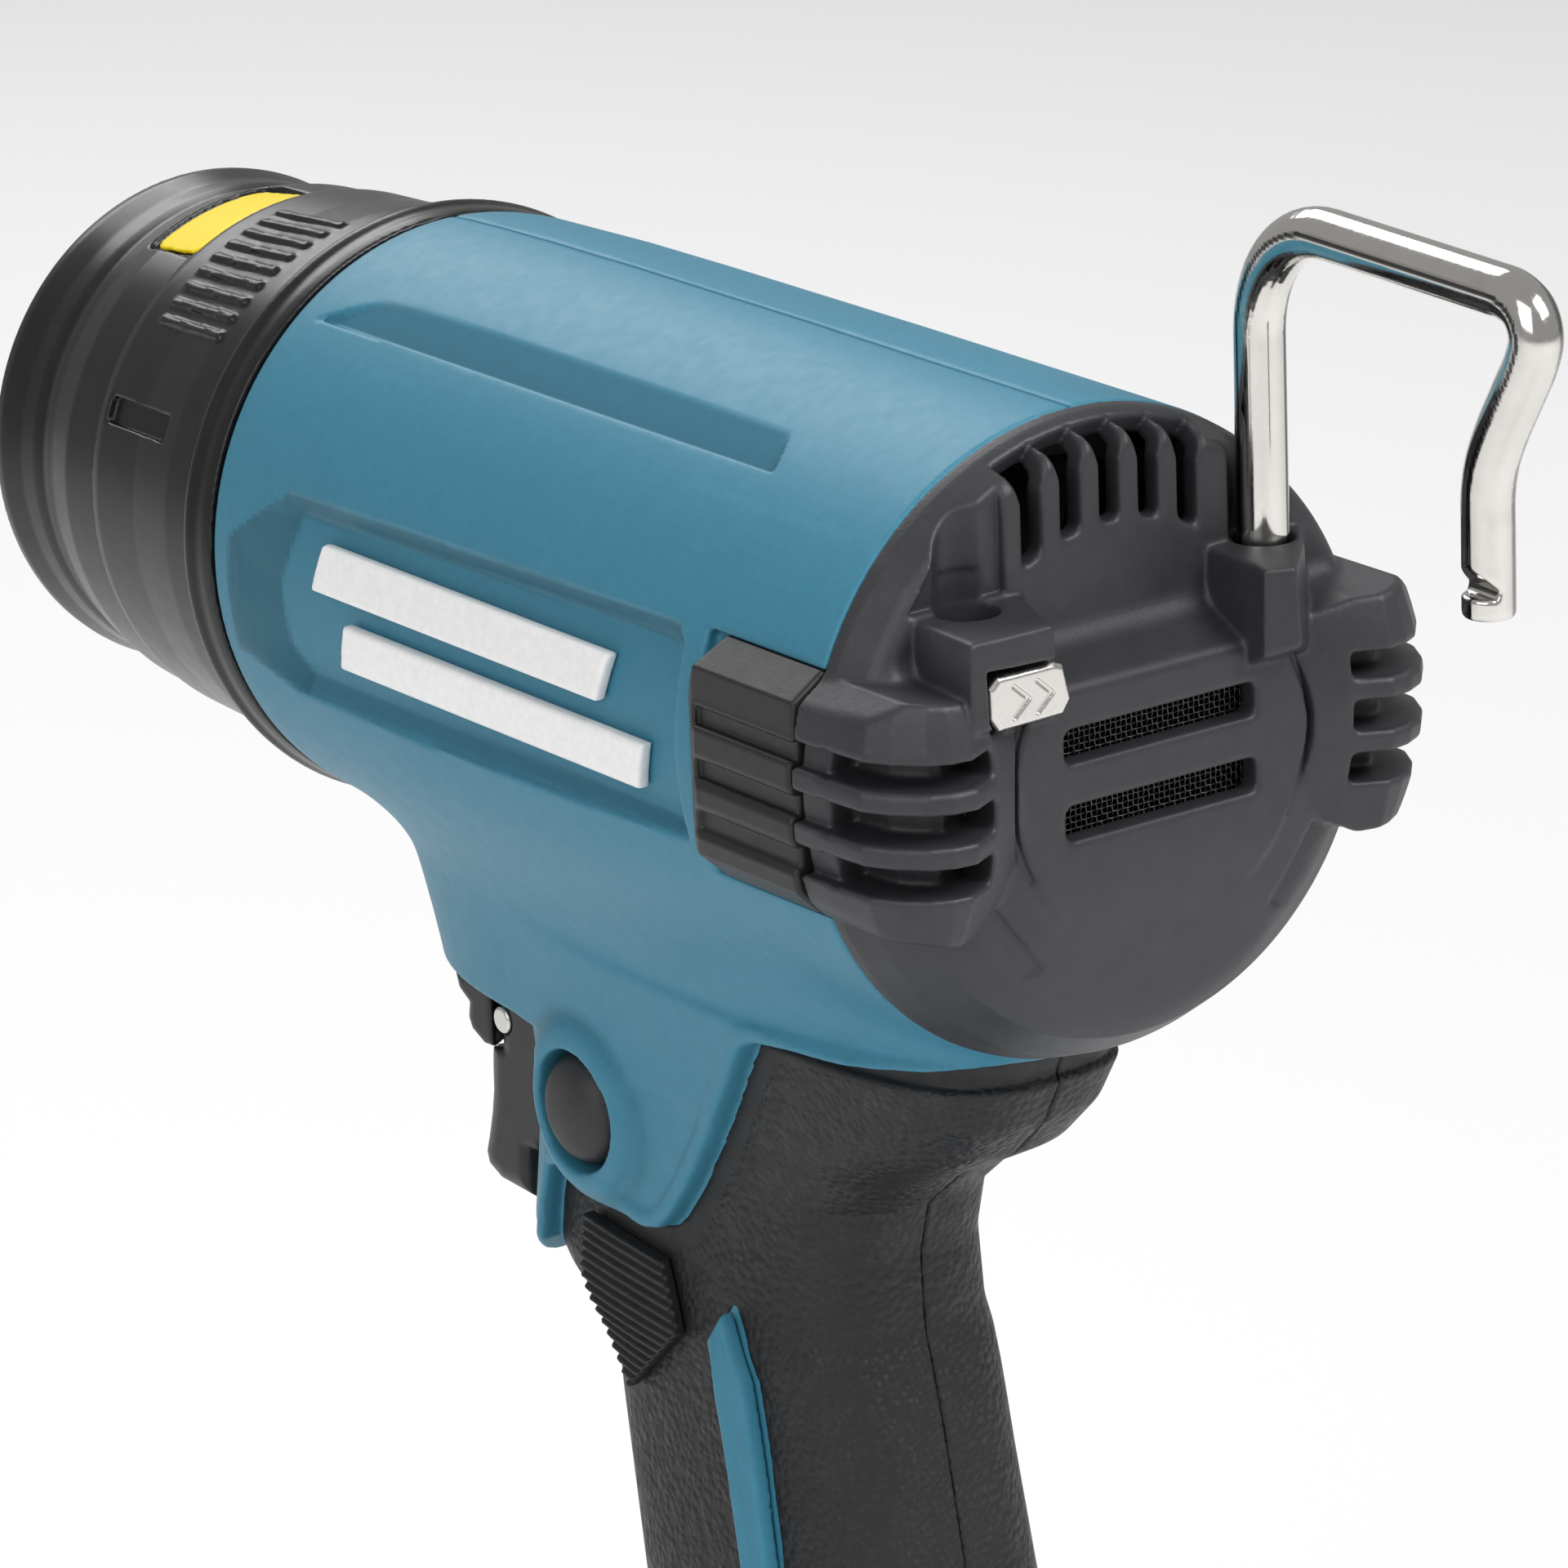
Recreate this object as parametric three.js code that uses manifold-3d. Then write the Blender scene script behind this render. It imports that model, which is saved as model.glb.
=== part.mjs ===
// Cordless heat gun with a hanging hook, standing on its slide-on battery.
// Millimetres, +Z up, nozzle towards -Y, hook and air intake towards +Y, +X is the tool's left side.
// Origin: centre of the battery's flat underside.

import * as THREE from 'three';
import { mergeVertices } from 'three/addons/utils/BufferGeometryUtils.js';
import Module from 'manifold-3d';

const wasm = await Module();
wasm.setup();

// ---- driving dimensions ----
const AXIS_Z = 230.8;        // barrel axis above the ground
const SEAM_Y = 50;           // plane where the rear cover meets the housing
const GAP = 0.3;             // gap between neighbouring pieces
const BARREL_R = 31.2;       // housing barrel, outside
const BARREL_WALL = 2.4;
const BARREL_FRONT = -103.1; // housing's front edge, from the seam plane
const REAR_FACE = 12.6;      // rear cover's disc, from the seam plane
const DISC_R = 17.2;
const LIP_R = 27.1;          // front protector's lip
const LIP_FRONT = -153.6;
const BORE_X = 17.53;        // hook bores, each side of the middle
const BORE_Y = 6.4;
const BOSS_TOP = 17;
const ROD_R = 2.5;           // hook rod
const HOOK_SWING = 86;       // degrees from stored, as stood
const HOOK_TOP = 48.2;       // hook crossbar's centre line above the barrel axis
const HOOK_TIP = 17.4;
const HOOK_STROKE = 9;
const GRIP_WALL = 2.2;       // rubber thickness
const NOZZLE_R = 17.5;
const BATTERY_W = 75;
const BATTERY_L = 116;
const BATTERY_H = 62;
const FOOT_GAP = 0.4;
const CELL_R = 9;
const CELL_L = 65;

const group = new THREE.Group();

// ---- geometry helpers ----

// closed solid from a geometry, faces turned outwards
function solid(geometry) {
  const g = geometry.clone();
  g.deleteAttribute('normal');
  g.deleteAttribute('uv');
  const m = mergeVertices(g, 1e-4);
  const vertProperties = new Float32Array(m.attributes.position.array);
  const triVerts = new Uint32Array(m.index.array);
  const keep = [];
  let volume = 0;
  const p = i => new THREE.Vector3().fromArray(vertProperties, 3 * i);
  for (let i = 0; i < triVerts.length; i += 3) {
    const [a, b, c] = [triVerts[i], triVerts[i + 1], triVerts[i + 2]];
    if (a === b || b === c || a === c) continue;
    keep.push(a, b, c);
    volume += p(a).dot(p(b).cross(p(c))) / 6;
  }
  if (volume < 0) for (let i = 0; i < keep.length; i += 3) [keep[i], keep[i + 1]] = [keep[i + 1], keep[i]];
  return new wasm.Manifold(new wasm.Mesh({ numProp: 3, vertProperties, triVerts: new Uint32Array(keep) }));
}

function toGeometry(manifold) {
  const mesh = manifold.getMesh();
  const g = new THREE.BufferGeometry();
  g.setAttribute('position', new THREE.BufferAttribute(new Float32Array(mesh.vertProperties), 3));
  g.setIndex(new THREE.BufferAttribute(new Uint32Array(mesh.triVerts), 1));
  g.computeVertexNormals();
  return g;
}

function add(name, shape, color, roughness, metalness = 0) {
  const manifold = shape.isBufferGeometry ? solid(shape) : shape;
  const material = new THREE.MeshStandardMaterial({ color, roughness, metalness });
  const mesh = new THREE.Mesh(toGeometry(manifold), material);
  mesh.name = name;
  group.add(mesh);
  return manifold;
}

const at = (geometry, x, y, z) => geometry.translate(x, y, z);
const union = list => list.reduce((a, b) => a.add(b));

function box(x0, x1, y0, y1, z0, z1) {
  return solid(at(new THREE.BoxGeometry(x1 - x0, y1 - y0, z1 - z0), (x0 + x1) / 2, (y0 + y1) / 2, (z0 + z1) / 2));
}

// turned about the line parallel to Y through (x, z); profile is [radius, y]
function turnedY(profile, segments, x = 0, z = 0) {
  const closed = [...profile, profile[0]];
  const pts = closed.map(([r, y]) => new THREE.Vector2(Math.max(r, 0), y));
  return solid(at(new THREE.LatheGeometry(pts, segments), x, 0, z));
}

function rodY(r, y0, y1, x = 0, z = 0, segments = 16) {
  return solid(at(new THREE.CylinderGeometry(r, r, y1 - y0, segments), x, (y0 + y1) / 2, z));
}

function rodX(r, x0, x1, y, z, segments = 16) {
  const g = new THREE.CylinderGeometry(r, r, x1 - x0, segments).rotateZ(Math.PI / 2);
  return solid(at(g, (x0 + x1) / 2, y, z));
}

function rodZ(r, z0, z1, x, y, segments = 16) {
  const g = new THREE.CylinderGeometry(r, r, z1 - z0, segments).rotateX(Math.PI / 2);
  return solid(at(g, x, y, (z0 + z1) / 2));
}

// outline moved outwards by d
function offset(outline, d) {
  const n = outline.length;
  const area = outline.reduce((t, [x, y], i) => t + x * outline[(i + 1) % n][1] - outline[(i + 1) % n][0] * y, 0);
  return outline.map((p, i) => {
    const [a, b] = [outline[(i + n - 1) % n], outline[(i + 1) % n]].map(q => new THREE.Vector2(...q));
    const v = new THREE.Vector2(...p);
    const [e, f] = [v.clone().sub(a).normalize(), b.sub(v).normalize()];
    const normal = new THREE.Vector2(e.y + f.y, -e.x - f.x).normalize();
    const k = (Math.sign(area) * d) / Math.max(0.4, normal.dot(new THREE.Vector2(e.y, -e.x)));
    return [v.x + normal.x * k, v.y + normal.y * k];
  });
}

// outline in the Y-Z plane carried along X
function slabX(outline, x0, x1) {
  const shape = new THREE.Shape(outline.map(([y, z]) => new THREE.Vector2(y, z)));
  const g = new THREE.ExtrudeGeometry(shape, { depth: x1 - x0, bevelEnabled: false });
  const m = new THREE.Matrix4().set(0, 0, 1, x0, 1, 0, 0, 0, 0, 1, 0, 0, 0, 0, 0, 1);
  return solid(g.applyMatrix4(m));
}

// outline in the X-Z plane carried along Y
function slabY(outline, y0, y1) {
  const shape = new THREE.Shape(outline.map(([x, z]) => new THREE.Vector2(x, z)));
  const g = new THREE.ExtrudeGeometry(shape, { depth: y1 - y0, bevelEnabled: false });
  const m = new THREE.Matrix4().set(1, 0, 0, 0, 0, 0, 1, y0, 0, 1, 0, 0, 0, 0, 0, 1);
  return solid(g.applyMatrix4(m));
}

// rings of equal point count joined into a closed skin
function loft(rings) {
  const n = rings[0].length;
  const pos = [];
  const idx = [];
  rings.forEach(ring => ring.forEach(v => pos.push(...v)));
  for (let k = 0; k < rings.length - 1; k++) {
    for (let i = 0; i < n; i++) {
      const j = (i + 1) % n;
      const [a, b, c, d] = [k * n + i, k * n + j, (k + 1) * n + j, (k + 1) * n + i];
      idx.push(a, b, c, a, c, d);
    }
  }
  for (let i = 1; i < n - 1; i++) {
    idx.push(0, i + 1, i);
    const o = (rings.length - 1) * n;
    idx.push(o, o + i, o + i + 1);
  }
  const g = new THREE.BufferGeometry();
  g.setAttribute('position', new THREE.BufferAttribute(new Float32Array(pos), 3));
  g.setIndex(idx);
  return solid(g);
}

// rounded section of a grip at height z: [z, front, back, half width], shrunk by inset
function section([z, front, back, half], inset = 0, power = 3, count = 16) {
  const ring = [];
  const cy = (front + back) / 2;
  const ry = (back - front) / 2 - inset;
  for (let i = 0; i < count; i++) {
    const t = (2 * Math.PI * (i + 0.5)) / count;
    const [c, s] = [Math.cos(t), Math.sin(t)];
    const k = e => Math.sign(e) * Math.abs(e) ** (2 / power);
    ring.push([(half - inset) * k(s), cy + ry * k(c), z]);
  }
  return ring;
}

const loftZ = (rows, inset, power, count) => loft(rows.map(r => section(r, inset, power, count)));

// bar of round section along a polyline
function bar(points, radius, sides, steps) {
  const shape = new THREE.Shape();
  for (let i = 0; i < sides; i++) {
    const t = (2 * Math.PI * i) / sides;
    const [x, y] = [radius * Math.cos(t), radius * Math.sin(t)];
    if (i) shape.lineTo(x, y); else shape.moveTo(x, y);
  }
  const curve = new THREE.CatmullRomCurve3(points, false, 'centripetal');
  return solid(new THREE.ExtrudeGeometry(shape, { steps, extrudePath: curve, bevelEnabled: false }));
}

// coil spring about an axis; start point, direction ('x', 'y', 'z'), closed ends not ground
function coil(x, y, z, dir, length, radius, wire, turns, perTurn = 10) {
  const pts = [];
  for (let i = 0; i <= turns * perTurn; i++) {
    const t = (2 * Math.PI * i) / perTurn;
    const [a, b, l] = [radius * Math.cos(t), radius * Math.sin(t), wire + (length - 2 * wire) * i / (turns * perTurn)];
    const v = { x: [l, a, b], y: [a, l, b], z: [a, b, l] }[dir];
    pts.push(new THREE.Vector3(x + v[0], y + v[1], z + v[2]));
  }
  return bar(pts, wire, 4, turns * perTurn);
}

// everything on the barrel is drawn from the seam plane and the barrel axis
const up = manifold => manifold.translate([0, SEAM_Y, AXIS_Z]);
const addB = (name, manifold, ...look) => add(name, up(manifold), ...look);

// ---- colours ----
const TEAL = [0x3f8aa8, 0.55];
const DARK = [0x3b3d42, 0.6];
const BLACK = [0x1d1e21, 0.45];
const RUBBER = [0x232427, 0.85];
const STEEL = [0xc9c9c9, 0.25, 1];
const INNER = [0x8a8d90, 0.5, 0.8];
const MICA = [0xb9a77d, 0.7];
const BOARD = [0x2d5a3a, 0.6];

// ---- housing ----

const NECK = [
  [-8, -100.5, -4, 29], [-16, -101, -4, 26.5], [-23, -102, -3, 22.8], [-28, -102.8, -2.5, 20.2],
  [-32, -103, -1, 18.4], [-36, -102.4, -2.8, 17.2], [-40, -101.4, -6, 16.4], [-45, -99.8, -11.5, 15.8],
];
const HANDLE = [
  [-34, -84, -0.8, 18], [-41, -83.5, -4.6, 16.8], [-46, -83, -9.8, 16.2], [-50.5, -82, -18.4, 15.8],
  [-55, -81.4, -23.8, 15.5], [-61, -82.2, -25.4, 15.5], [-69, -83, -25, 16], [-72, -80, -24.1, 16.3],
  [-75.5, -74, -23.2, 16], [-79, -71.8, -22.4, 15.9], [-84, -71.2, -21.4, 16], [-104, -67.4, -17.4, 16.8],
  [-124, -64.4, -13.9, 17], [-138, -63.5, -8.2, 17.4], [-144, -66.5, -3, 20], [-149, -82, 1.5, 25],
];
const FOOT = [
  [-143, -66, -6, 19], [-148, -88, 0, 26.5], [-152, -100, 4.5, 31], [-157, -105, 6.8, 33],
  [BATTERY_H + FOOT_GAP - AXIS_Z, -106, 7.4, 33.4],
];
// edge between the teal housing and the rubber grip, seen from the side
const GRIP_EDGE = [
  [6, -27.5], [0.7, -31.6], [-8, -33.4], [-16.4, -34.2], [-24.5, -34.5], [-29.5, -35.1], [-32, -36.3],
  [-33.8, -38.6], [-40.3, -48.1], [-46, -56.1], [-48.8, -59.6], [-50.6, -61.2], [-53.3, -61.9],
  [-60.2, -61], [-67.3, -60.3], [-69.3, -61.2], [-70.4, -64.8], [-71, -69.5], [-74.5, -72.2], [-92, -73],
];
const INLAY = [
  [-43.2, -70.8], [-41.3, -67.5], [-37.9, -74.3], [-34.5, -92], [-31, -112], [-29.8, -127], [-32.5, -130],
  [-35, -112], [-38.8, -92], [-41.4, -76.3],
];

const barrelOuter = (grow = 0) => turnedY([
  [0, 0], [BARREL_R + grow, 0], [BARREL_R + 0.4 + grow, -30], [BARREL_R + 0.6 + grow, -60],
  [BARREL_R + 0.2 + grow, -92], [BARREL_R - 0.4 + grow, BARREL_FRONT], [0, BARREL_FRONT]], 32);

function panelCuts() {
  // side label panels and upper strips, sunk a millimetre into the barrel
  const side = [[-99.5, 4], [-89.4, 10.4], [-22.3, 11.9], [-20.4, 9.5], [-20.4, -9.5], [-89, -11], [-99.5, -8]];
  const ring = turnedY([[30.2, -10], [40, -10], [40, -101], [30.2, -101]], 32);
  const cuts = [];
  for (const s of [-1, 1]) {
    cuts.push(slabX(side, s > 0 ? 20 : -40, s > 0 ? 40 : -20));
    const [a, b] = [51.4, 60.4].map(d => THREE.MathUtils.degToRad(d));
    const strip = [[20, a], [45, a], [45, b], [20, b]].map(([r, t]) => [s * r * Math.cos(t), r * Math.sin(t)]);
    cuts.push(slabY(s > 0 ? strip : strip.reverse(), -97, -21.5));
  }
  return union(cuts).intersect(ring);
}

const SIDE_OUTLINE = [[27, 11.6], [28.5, 11.6], [32.3, 10.1], [33.1, 6.8], [33.7, 0], [33.1, -6.3], [30.6, -10.6], [27, -10.6]];
const sideOutline = (s, o = 0) => {
  const pts = SIDE_OUTLINE.map(([x, z]) => [s * (x + o * 0.7), z + Math.sign(z || 1) * o]);
  return s > 0 ? pts : pts.reverse();
};

function sidePads() {
  return [1, -1].map(s => {
    let pad = slabY(sideOutline(s), -17.5, -GAP / 2);
    pad = pad.subtract(rodY(BARREL_R - 0.6, -30, 5, 0, 0, 32));
    for (const z of [-7.2, -2.6, 2, 6.6]) {
      pad = pad.subtract(box(s > 0 ? 33 : -36, s > 0 ? 36 : -33, -15.8, -1.8, z - 0.5, z + 0.5));
    }
    return pad;
  });
}

const BUTTON_Y = -62.1;
const BUTTON_Z = -51.3;
const DIAL_Y = -82;
const TRIGGER_POCKET = [[-104, -45.4], [-72, -45.4], [-72, -64.6], [-79.9, -64.6], [-79.9, -71], [-104, -71]];

function grip() {
  const shellOut = loftZ(HANDLE, 0);
  const core = loftZ(HANDLE, GRIP_WALL);
  const region = (o = 0) => slabX([
    ...GRIP_EDGE.map(([y, z]) => [y, z + o]), [-92, -134.5 - o], [-60, -136.5 - o], [6, -136.5 - o]], -40, 40);
  return { shellOut, core, region };
}

function housing() {
  const { shellOut, core, region } = grip();
  const inlay = grow => slabX(offset(INLAY, grow), -40, 40);
  let body = union([barrelOuter(), loftZ(NECK, 0, 3), shellOut, loftZ(FOOT, 0, 4.5)]);
  // raised collar round the lock-on button
  body = body.add(rodX(7.6, 12, 16.6, BUTTON_Y, BUTTON_Z, 24));
  // pocket for the rubber
  const skin = region(GAP).subtract(core);
  body = body.subtract(skin).subtract(panelCuts());
  // seats of the side pads
  const ring = turnedY([[BARREL_R - 0.9, -17.9], [40, -17.9], [40, 1], [BARREL_R - 0.9, 1]], 32);
  for (const s of [1, -1]) body = body.subtract(slabY(sideOutline(s, 0.35), -17.9, 1).intersect(ring));
  const outer = body;
  // hollow barrel, handle and foot
  const cavity = union([
    turnedY([[0, 1], [BARREL_R - BARREL_WALL, 1], [BARREL_R - BARREL_WALL, -99.5], [0, -99.5]], 24),
    loftZ(NECK.map(([z, f, b, h]) => [z, f + 2.4, b - 2.4, h - 2.4]).slice(0, 7), 0, 3),
    loftZ(HANDLE.slice(1, -1), GRIP_WALL + 2),
    loftZ([[-141, -60, -10, 14.5], [-150, -84, -1, 24], [-153, -92, 2, 27], [-164, -98, 4, 29]], 0, 4),
  ]);
  body = body.subtract(cavity);
  // front wall: open for the nozzle tube and its insulator
  body = body.subtract(rodY(23.2, -110, -90, 0, 0, 20));
  // trigger opening, with cheeks each side
  body = body.subtract(slabX(TRIGGER_POCKET, -10.2, 10.2));
  body = body.subtract(slabX([[-110, -45], [-84, -45], [-84, -74], [-110, -74]], -20, 20));
  // button opening
  body = body.subtract(rodX(6.2, 5, 30, BUTTON_Y, BUTTON_Z, 24));
  // groove that traps the rear cover's tongue between the halves
  body = body.subtract(turnedY([[27, -3.9], [29.9, -3.9], [29.9, -1.7], [27, -1.7]], 32));
  // channel under the foot for the battery's rails, open at the front
  const foot = BATTERY_H + FOOT_GAP - AXIS_Z;
  body = body.subtract(box(-26.5, 26.5, -120, -8, foot - 1, foot + 5));
  // dial opening through the foot's top deck
  body = body.subtract(rodZ(9.4, -160, -140, 0, DIAL_Y, 20));
  const rubber = shellOut.intersect(region()).subtract(loftZ(HANDLE, GRIP_WALL - GAP));
  const patch = shellOut.intersect(inlay(-GAP / 2)).subtract(loftZ(HANDLE, GRIP_WALL - GAP));
  return { body, outer, rubber: rubber.subtract(inlay(GAP / 2)), patch };
}

const SCREWS = [
  [-93, -38], [-24, -41], [-76.2, -68.6], [-48, -86], [-42, -128], [-97.6, -159], [-3, -154.5],
];

// the biggest piece of a solid, without loose crumbs
function largest(manifold) {
  const parts = manifold.decompose();
  return parts.reduce((a, b) => (b.volume() > a.volume() ? b : a));
}

function housingHalves() {
  const { body, outer, rubber, patch } = housing();
  const half = (m, s) => m.intersect(s > 0 ? box(0.15, 60, -200, 60, -200, 60) : box(-60, -0.15, -200, 60, -200, 60));
  let left = half(body, 1);
  let right = half(body, -1);
  let rubberRight = half(rubber, -1);
  // screw posts run between the halves; the heads sit in the right half
  for (const [y, z] of SCREWS) {
    const reach = z < -140 ? 24 : 14;
    left = left.add(rodX(3.2, 0.15, reach, y, z, 8).intersect(outer)).subtract(rodX(1.6, -1, 8.5, y, z, 6));
    right = right.add(rodX(3.2, -reach, -0.15, y, z, 8).intersect(outer));
    right = right.subtract(rodX(1.9, -60, 1, y, z, 6)).subtract(rodX(3.4, -60, -8, y, z, 10));
    rubberRight = rubberRight.subtract(rodX(3.9, -60, 0, y, z, 10));
  }
  addB('housing_left', largest(left), ...TEAL);
  addB('housing_right', largest(right), ...TEAL);
  addB('grip_left', largest(half(rubber, 1)), ...RUBBER);
  addB('grip_right', largest(rubberRight), ...RUBBER);
  addB('grip_inlay_left', largest(half(patch, 1)), ...TEAL);
  addB('grip_inlay_right', largest(half(patch, -1)), ...TEAL);
  SCREWS.forEach(([y, z], i) => {
    const screw = rodX(2.8, -10.2, -8.4, y, z, 10).add(rodX(1.2, -8.5, 7.5, y, z, 6));
    addB(`housing_screw_${i + 1}`, screw, ...STEEL);
  });
}

// ---- rear cover ----

const WALL_Y = 5.8;

function bossBlock(s) {
  // hook boss: faceted block with its flat top at BOSS_TOP
  const top = s > 0
    ? [[22.7, 0.4], [23.8, 15.2], [14.5, 15.4], [10.5, 5.2], [11.6, 4.1], [17.3, 0.8]]
    : [[-11.2, 5.7], [-15, 5.1], [-27.2, -2.3], [-19.5, 10], [-13.2, 16.5], [-10.4, 15.3]];
  const ring = (pts, z, k) => pts.map(([x, y]) => {
    const [cx, cy] = [s * 17.5, 7];
    return [cx + (x - cx) * k, Math.max(cy + (y - cy) * k, 0.2), z];
  });
  const order = s > 0 ? top : top.slice().reverse();
  const clip = order.map(([x, y]) => [x, Math.max(y, 0.2)]);
  return loft([ring(clip, BOSS_TOP, 1), ring(clip, 12.5, 1.06), ring(clip, 6.5, 0.98)]);
}

// sections of an ear going back from the seam plane: [y, inner half width, outer half width, height share]
const EAR = [
  [0.15, 27, 33.7, 1], [4, 26.5, 33.6, 1], [9, 23.5, 33.2, 0.98], [12.2, 18, 31.9, 0.92],
  [14.8, 21.5, 29.8, 0.8], [16.4, 24, 27, 0.68],
];
const EAR_CORE = [[0.15, 26, 29.6, 1], [4, 25, 29.3, 1], [8, 22, 28, 0.98], [10.5, 17.5, 26, 0.9], [12.4, 20, 24.5, 0.76]];
const EAR_SLOTS = [[3.9, 6.3], [-1.3, 1.7], [-6.6, -3.6]];

function earSkin(s, rows) {
  return loft(rows.map(([y, inner, outer, share]) => sideOutline(s).map(([x, z]) => {
    const t = (Math.abs(x) - 27) / 6.7;
    return [s * (inner + t * (outer - inner)), y, 0.4 + (z - 0.4) * share];
  })));
}

function ear(s) {
  const core = earSkin(s, EAR_CORE);
  const slots = union(EAR_SLOTS.map(([z0, z1]) => box(s > 0 ? 21.5 : -40, s > 0 ? 40 : -21.5, 3.6, 20, z0, z1)));
  return earSkin(s, EAR).subtract(slots.subtract(core));
}

function rearCover() {
  let cover = turnedY([
    [0, REAR_FACE], [DISC_R, REAR_FACE], [DISC_R + 0.7, 11.9], [23.4, 11.3], [27.6, 8.6], [30.3, 4.6],
    [BARREL_R, 0.15], [0, 0.15]], 36);
  // sunk field above the ledge
  const sunk = slabX([[20, 8.9], [REAR_FACE, 9.4], [WALL_Y, 12], [WALL_Y, 40], [20, 40]], -40, 40);
  cover = cover.subtract(sunk);
  cover = union([cover, bossBlock(1), bossBlock(-1), ear(1), ear(-1)]);
  // hollow inside
  const hollow = turnedY([[0, -1], [28.6, -1], [28.6, 2.6], [26, 7], [21.8, 9.9], [0, 9.9]], 24);
  const roof = box(-40, 40, 3.2, 20, 6, 40);
  cover = cover.subtract(hollow.subtract(roof));
  // wall slots, open through the rim
  for (const x of [-9.2, -4.6, 0, 4.6, 9.2]) {
    const z0 = Math.sqrt(21.8 ** 2 - x * x);
    const z1 = Math.sqrt(30.2 ** 2 - x * x);
    cover = cover.subtract(box(x - 1.1, x + 1.1, 1.2, 9, z0, z1));
  }
  // face slots
  for (const [z0, z1] of [[2.1, 5.3], [-5.4, -2.1]]) cover = cover.subtract(box(-11.3, 11.3, 8, 14, z0, z1));
  // hook bores and the grooves that clear the rod above them
  cover = cover.subtract(rodZ(3, HOOK_TIP - HOOK_STROKE - 2, 20, BORE_X, BORE_Y, 12)).subtract(rodZ(3, -2, 20, -BORE_X, BORE_Y, 12));
  for (const s of [-1, 1]) cover = cover.subtract(rodZ(3.3, BOSS_TOP, 40, s * BORE_X, BORE_Y, 12));
  // pocket of the release button, in the left boss
  cover = cover.subtract(box(11.9, 22, 9.7, 20, 7.6, 13.5));
  cover = cover.subtract(box(15.9, 19.2, 8.6, 12, 9, 12.4));
  // tongue held in the housing's groove
  cover = cover.add(turnedY([[26.8, 1.2], [26.8, -3.6], [29.5, -3.6], [29.5, -2], [28.45, -2], [28.45, 1.2]], 32)
    .subtract(box(-14, 14, -10, 10, -40, 0)));
  addB('rear_cover', cover, ...DARK);
  const pads = sidePads();
  addB('side_pad_left', pads[0], ...BLACK);
  addB('side_pad_right', pads[1], ...BLACK);
  addB('intake_screen', box(-13.5, 13.5, 8.9, 9.5, -7.6, 5.7), ...STEEL);
}

// ---- hanging hook ----

function hook() {
  const t = THREE.MathUtils.degToRad(HOOK_SWING);
  const dir = new THREE.Vector3(Math.cos(t), Math.sin(t), 0);
  const P = (s, z) => new THREE.Vector3(-BORE_X, BORE_Y, z).addScaledVector(dir, s);
  const pts = [P(0, 3.2), P(0, 20), P(0, 34)];
  for (let i = 0; i <= 6; i++) {
    const a = (Math.PI / 2) * (i / 6);
    pts.push(P(11.5 - 11.5 * Math.cos(a), HOOK_TOP - 11.5 + 11.5 * Math.sin(a)));
  }
  pts.push(P(24, HOOK_TOP), P(36, HOOK_TOP), P(39.4, 48), P(41.6, 46.9), P(42.3, 45), P(41.6, 42.8),
    P(39.6, 39.4), P(37.2, 35.4), P(35.7, 32), P(35.1, 29), P(35.06, 24), P(35.06, HOOK_TIP));
  let rod = bar(pts, ROD_R, 10, 32);
  // lock notch near the tip
  const tip = P(35.06, 0);
  const wedge = slabY([[0, 0], [4, 3.4], [4, -0.6], [0.4, -0.6]], -6, 6);
  rod = rod.subtract(wedge.translate([tip.x + 0.4, tip.y, HOOK_TIP + 3.2]));
  addB('hook', rod, ...STEEL);
  const clip = rodZ(3.2, 3.9, 5.2, -BORE_X, BORE_Y, 12).subtract(rodZ(ROD_R + 0.16, 3, 6, -BORE_X, BORE_Y, 12));
  addB('hook_clip', clip, ...STEEL);
}

function releaseButton() {
  const face = [[20.6, 13.2], [14.1, 13.2], [13, 12.8], [12.2, 9.4], [13.2, 8], [20.6, 7.9], [21.7, 9.4], [21.7, 12.2]];
  addB('hook_release_button', slabY(face.slice().reverse(), 12.6, 15), ...STEEL);
  addB('hook_release_spring', coil(17.55, 10, 10.7, 'y', 2.4, 1.1, 0.2, 2, 6), ...STEEL);
}

// ---- front end ----

function frontEnd() {
  addB('collar_ring', turnedY([[26.2, -103.4], [30.4, -103.4], [30.9, -104.6], [30.8, -107.6], [30, -109], [26.2, -109]], 36),
    ...BLACK);
  const skin = [
    [29.7, -109.3], [29.1, -121], [28.6, -128.6], [28.1, -129.4], [27.3, -139],
    [26.1, -144], [26.1, -146.2], [26.9, -147.6], [LIP_R, -151], [26.6, -152.8], [25.4, LIP_FRONT],
  ];
  const bore = [[23.6, LIP_FRONT], [23, -152], [23, -146], [25, -139], [26, -122], [26.2, -109.3]];
  const tube = turnedY([...skin, ...bore], 36);
  addB('front_protector', tube, ...BLACK);
  const patch = turnedY([[28.2, -131], [28.8, -131], [28.4, -139], [27.6, -139]], 64);
  const wedge = [[0, 0], ...[60, 70, 80, 90].map(d => THREE.MathUtils.degToRad(d)).map(a => [50 * Math.cos(a), 50 * Math.sin(a)])];
  addB('warning_patch', patch.intersect(slabY(wedge, -145, -120)), 0xf2c800, 0.5);
}

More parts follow.
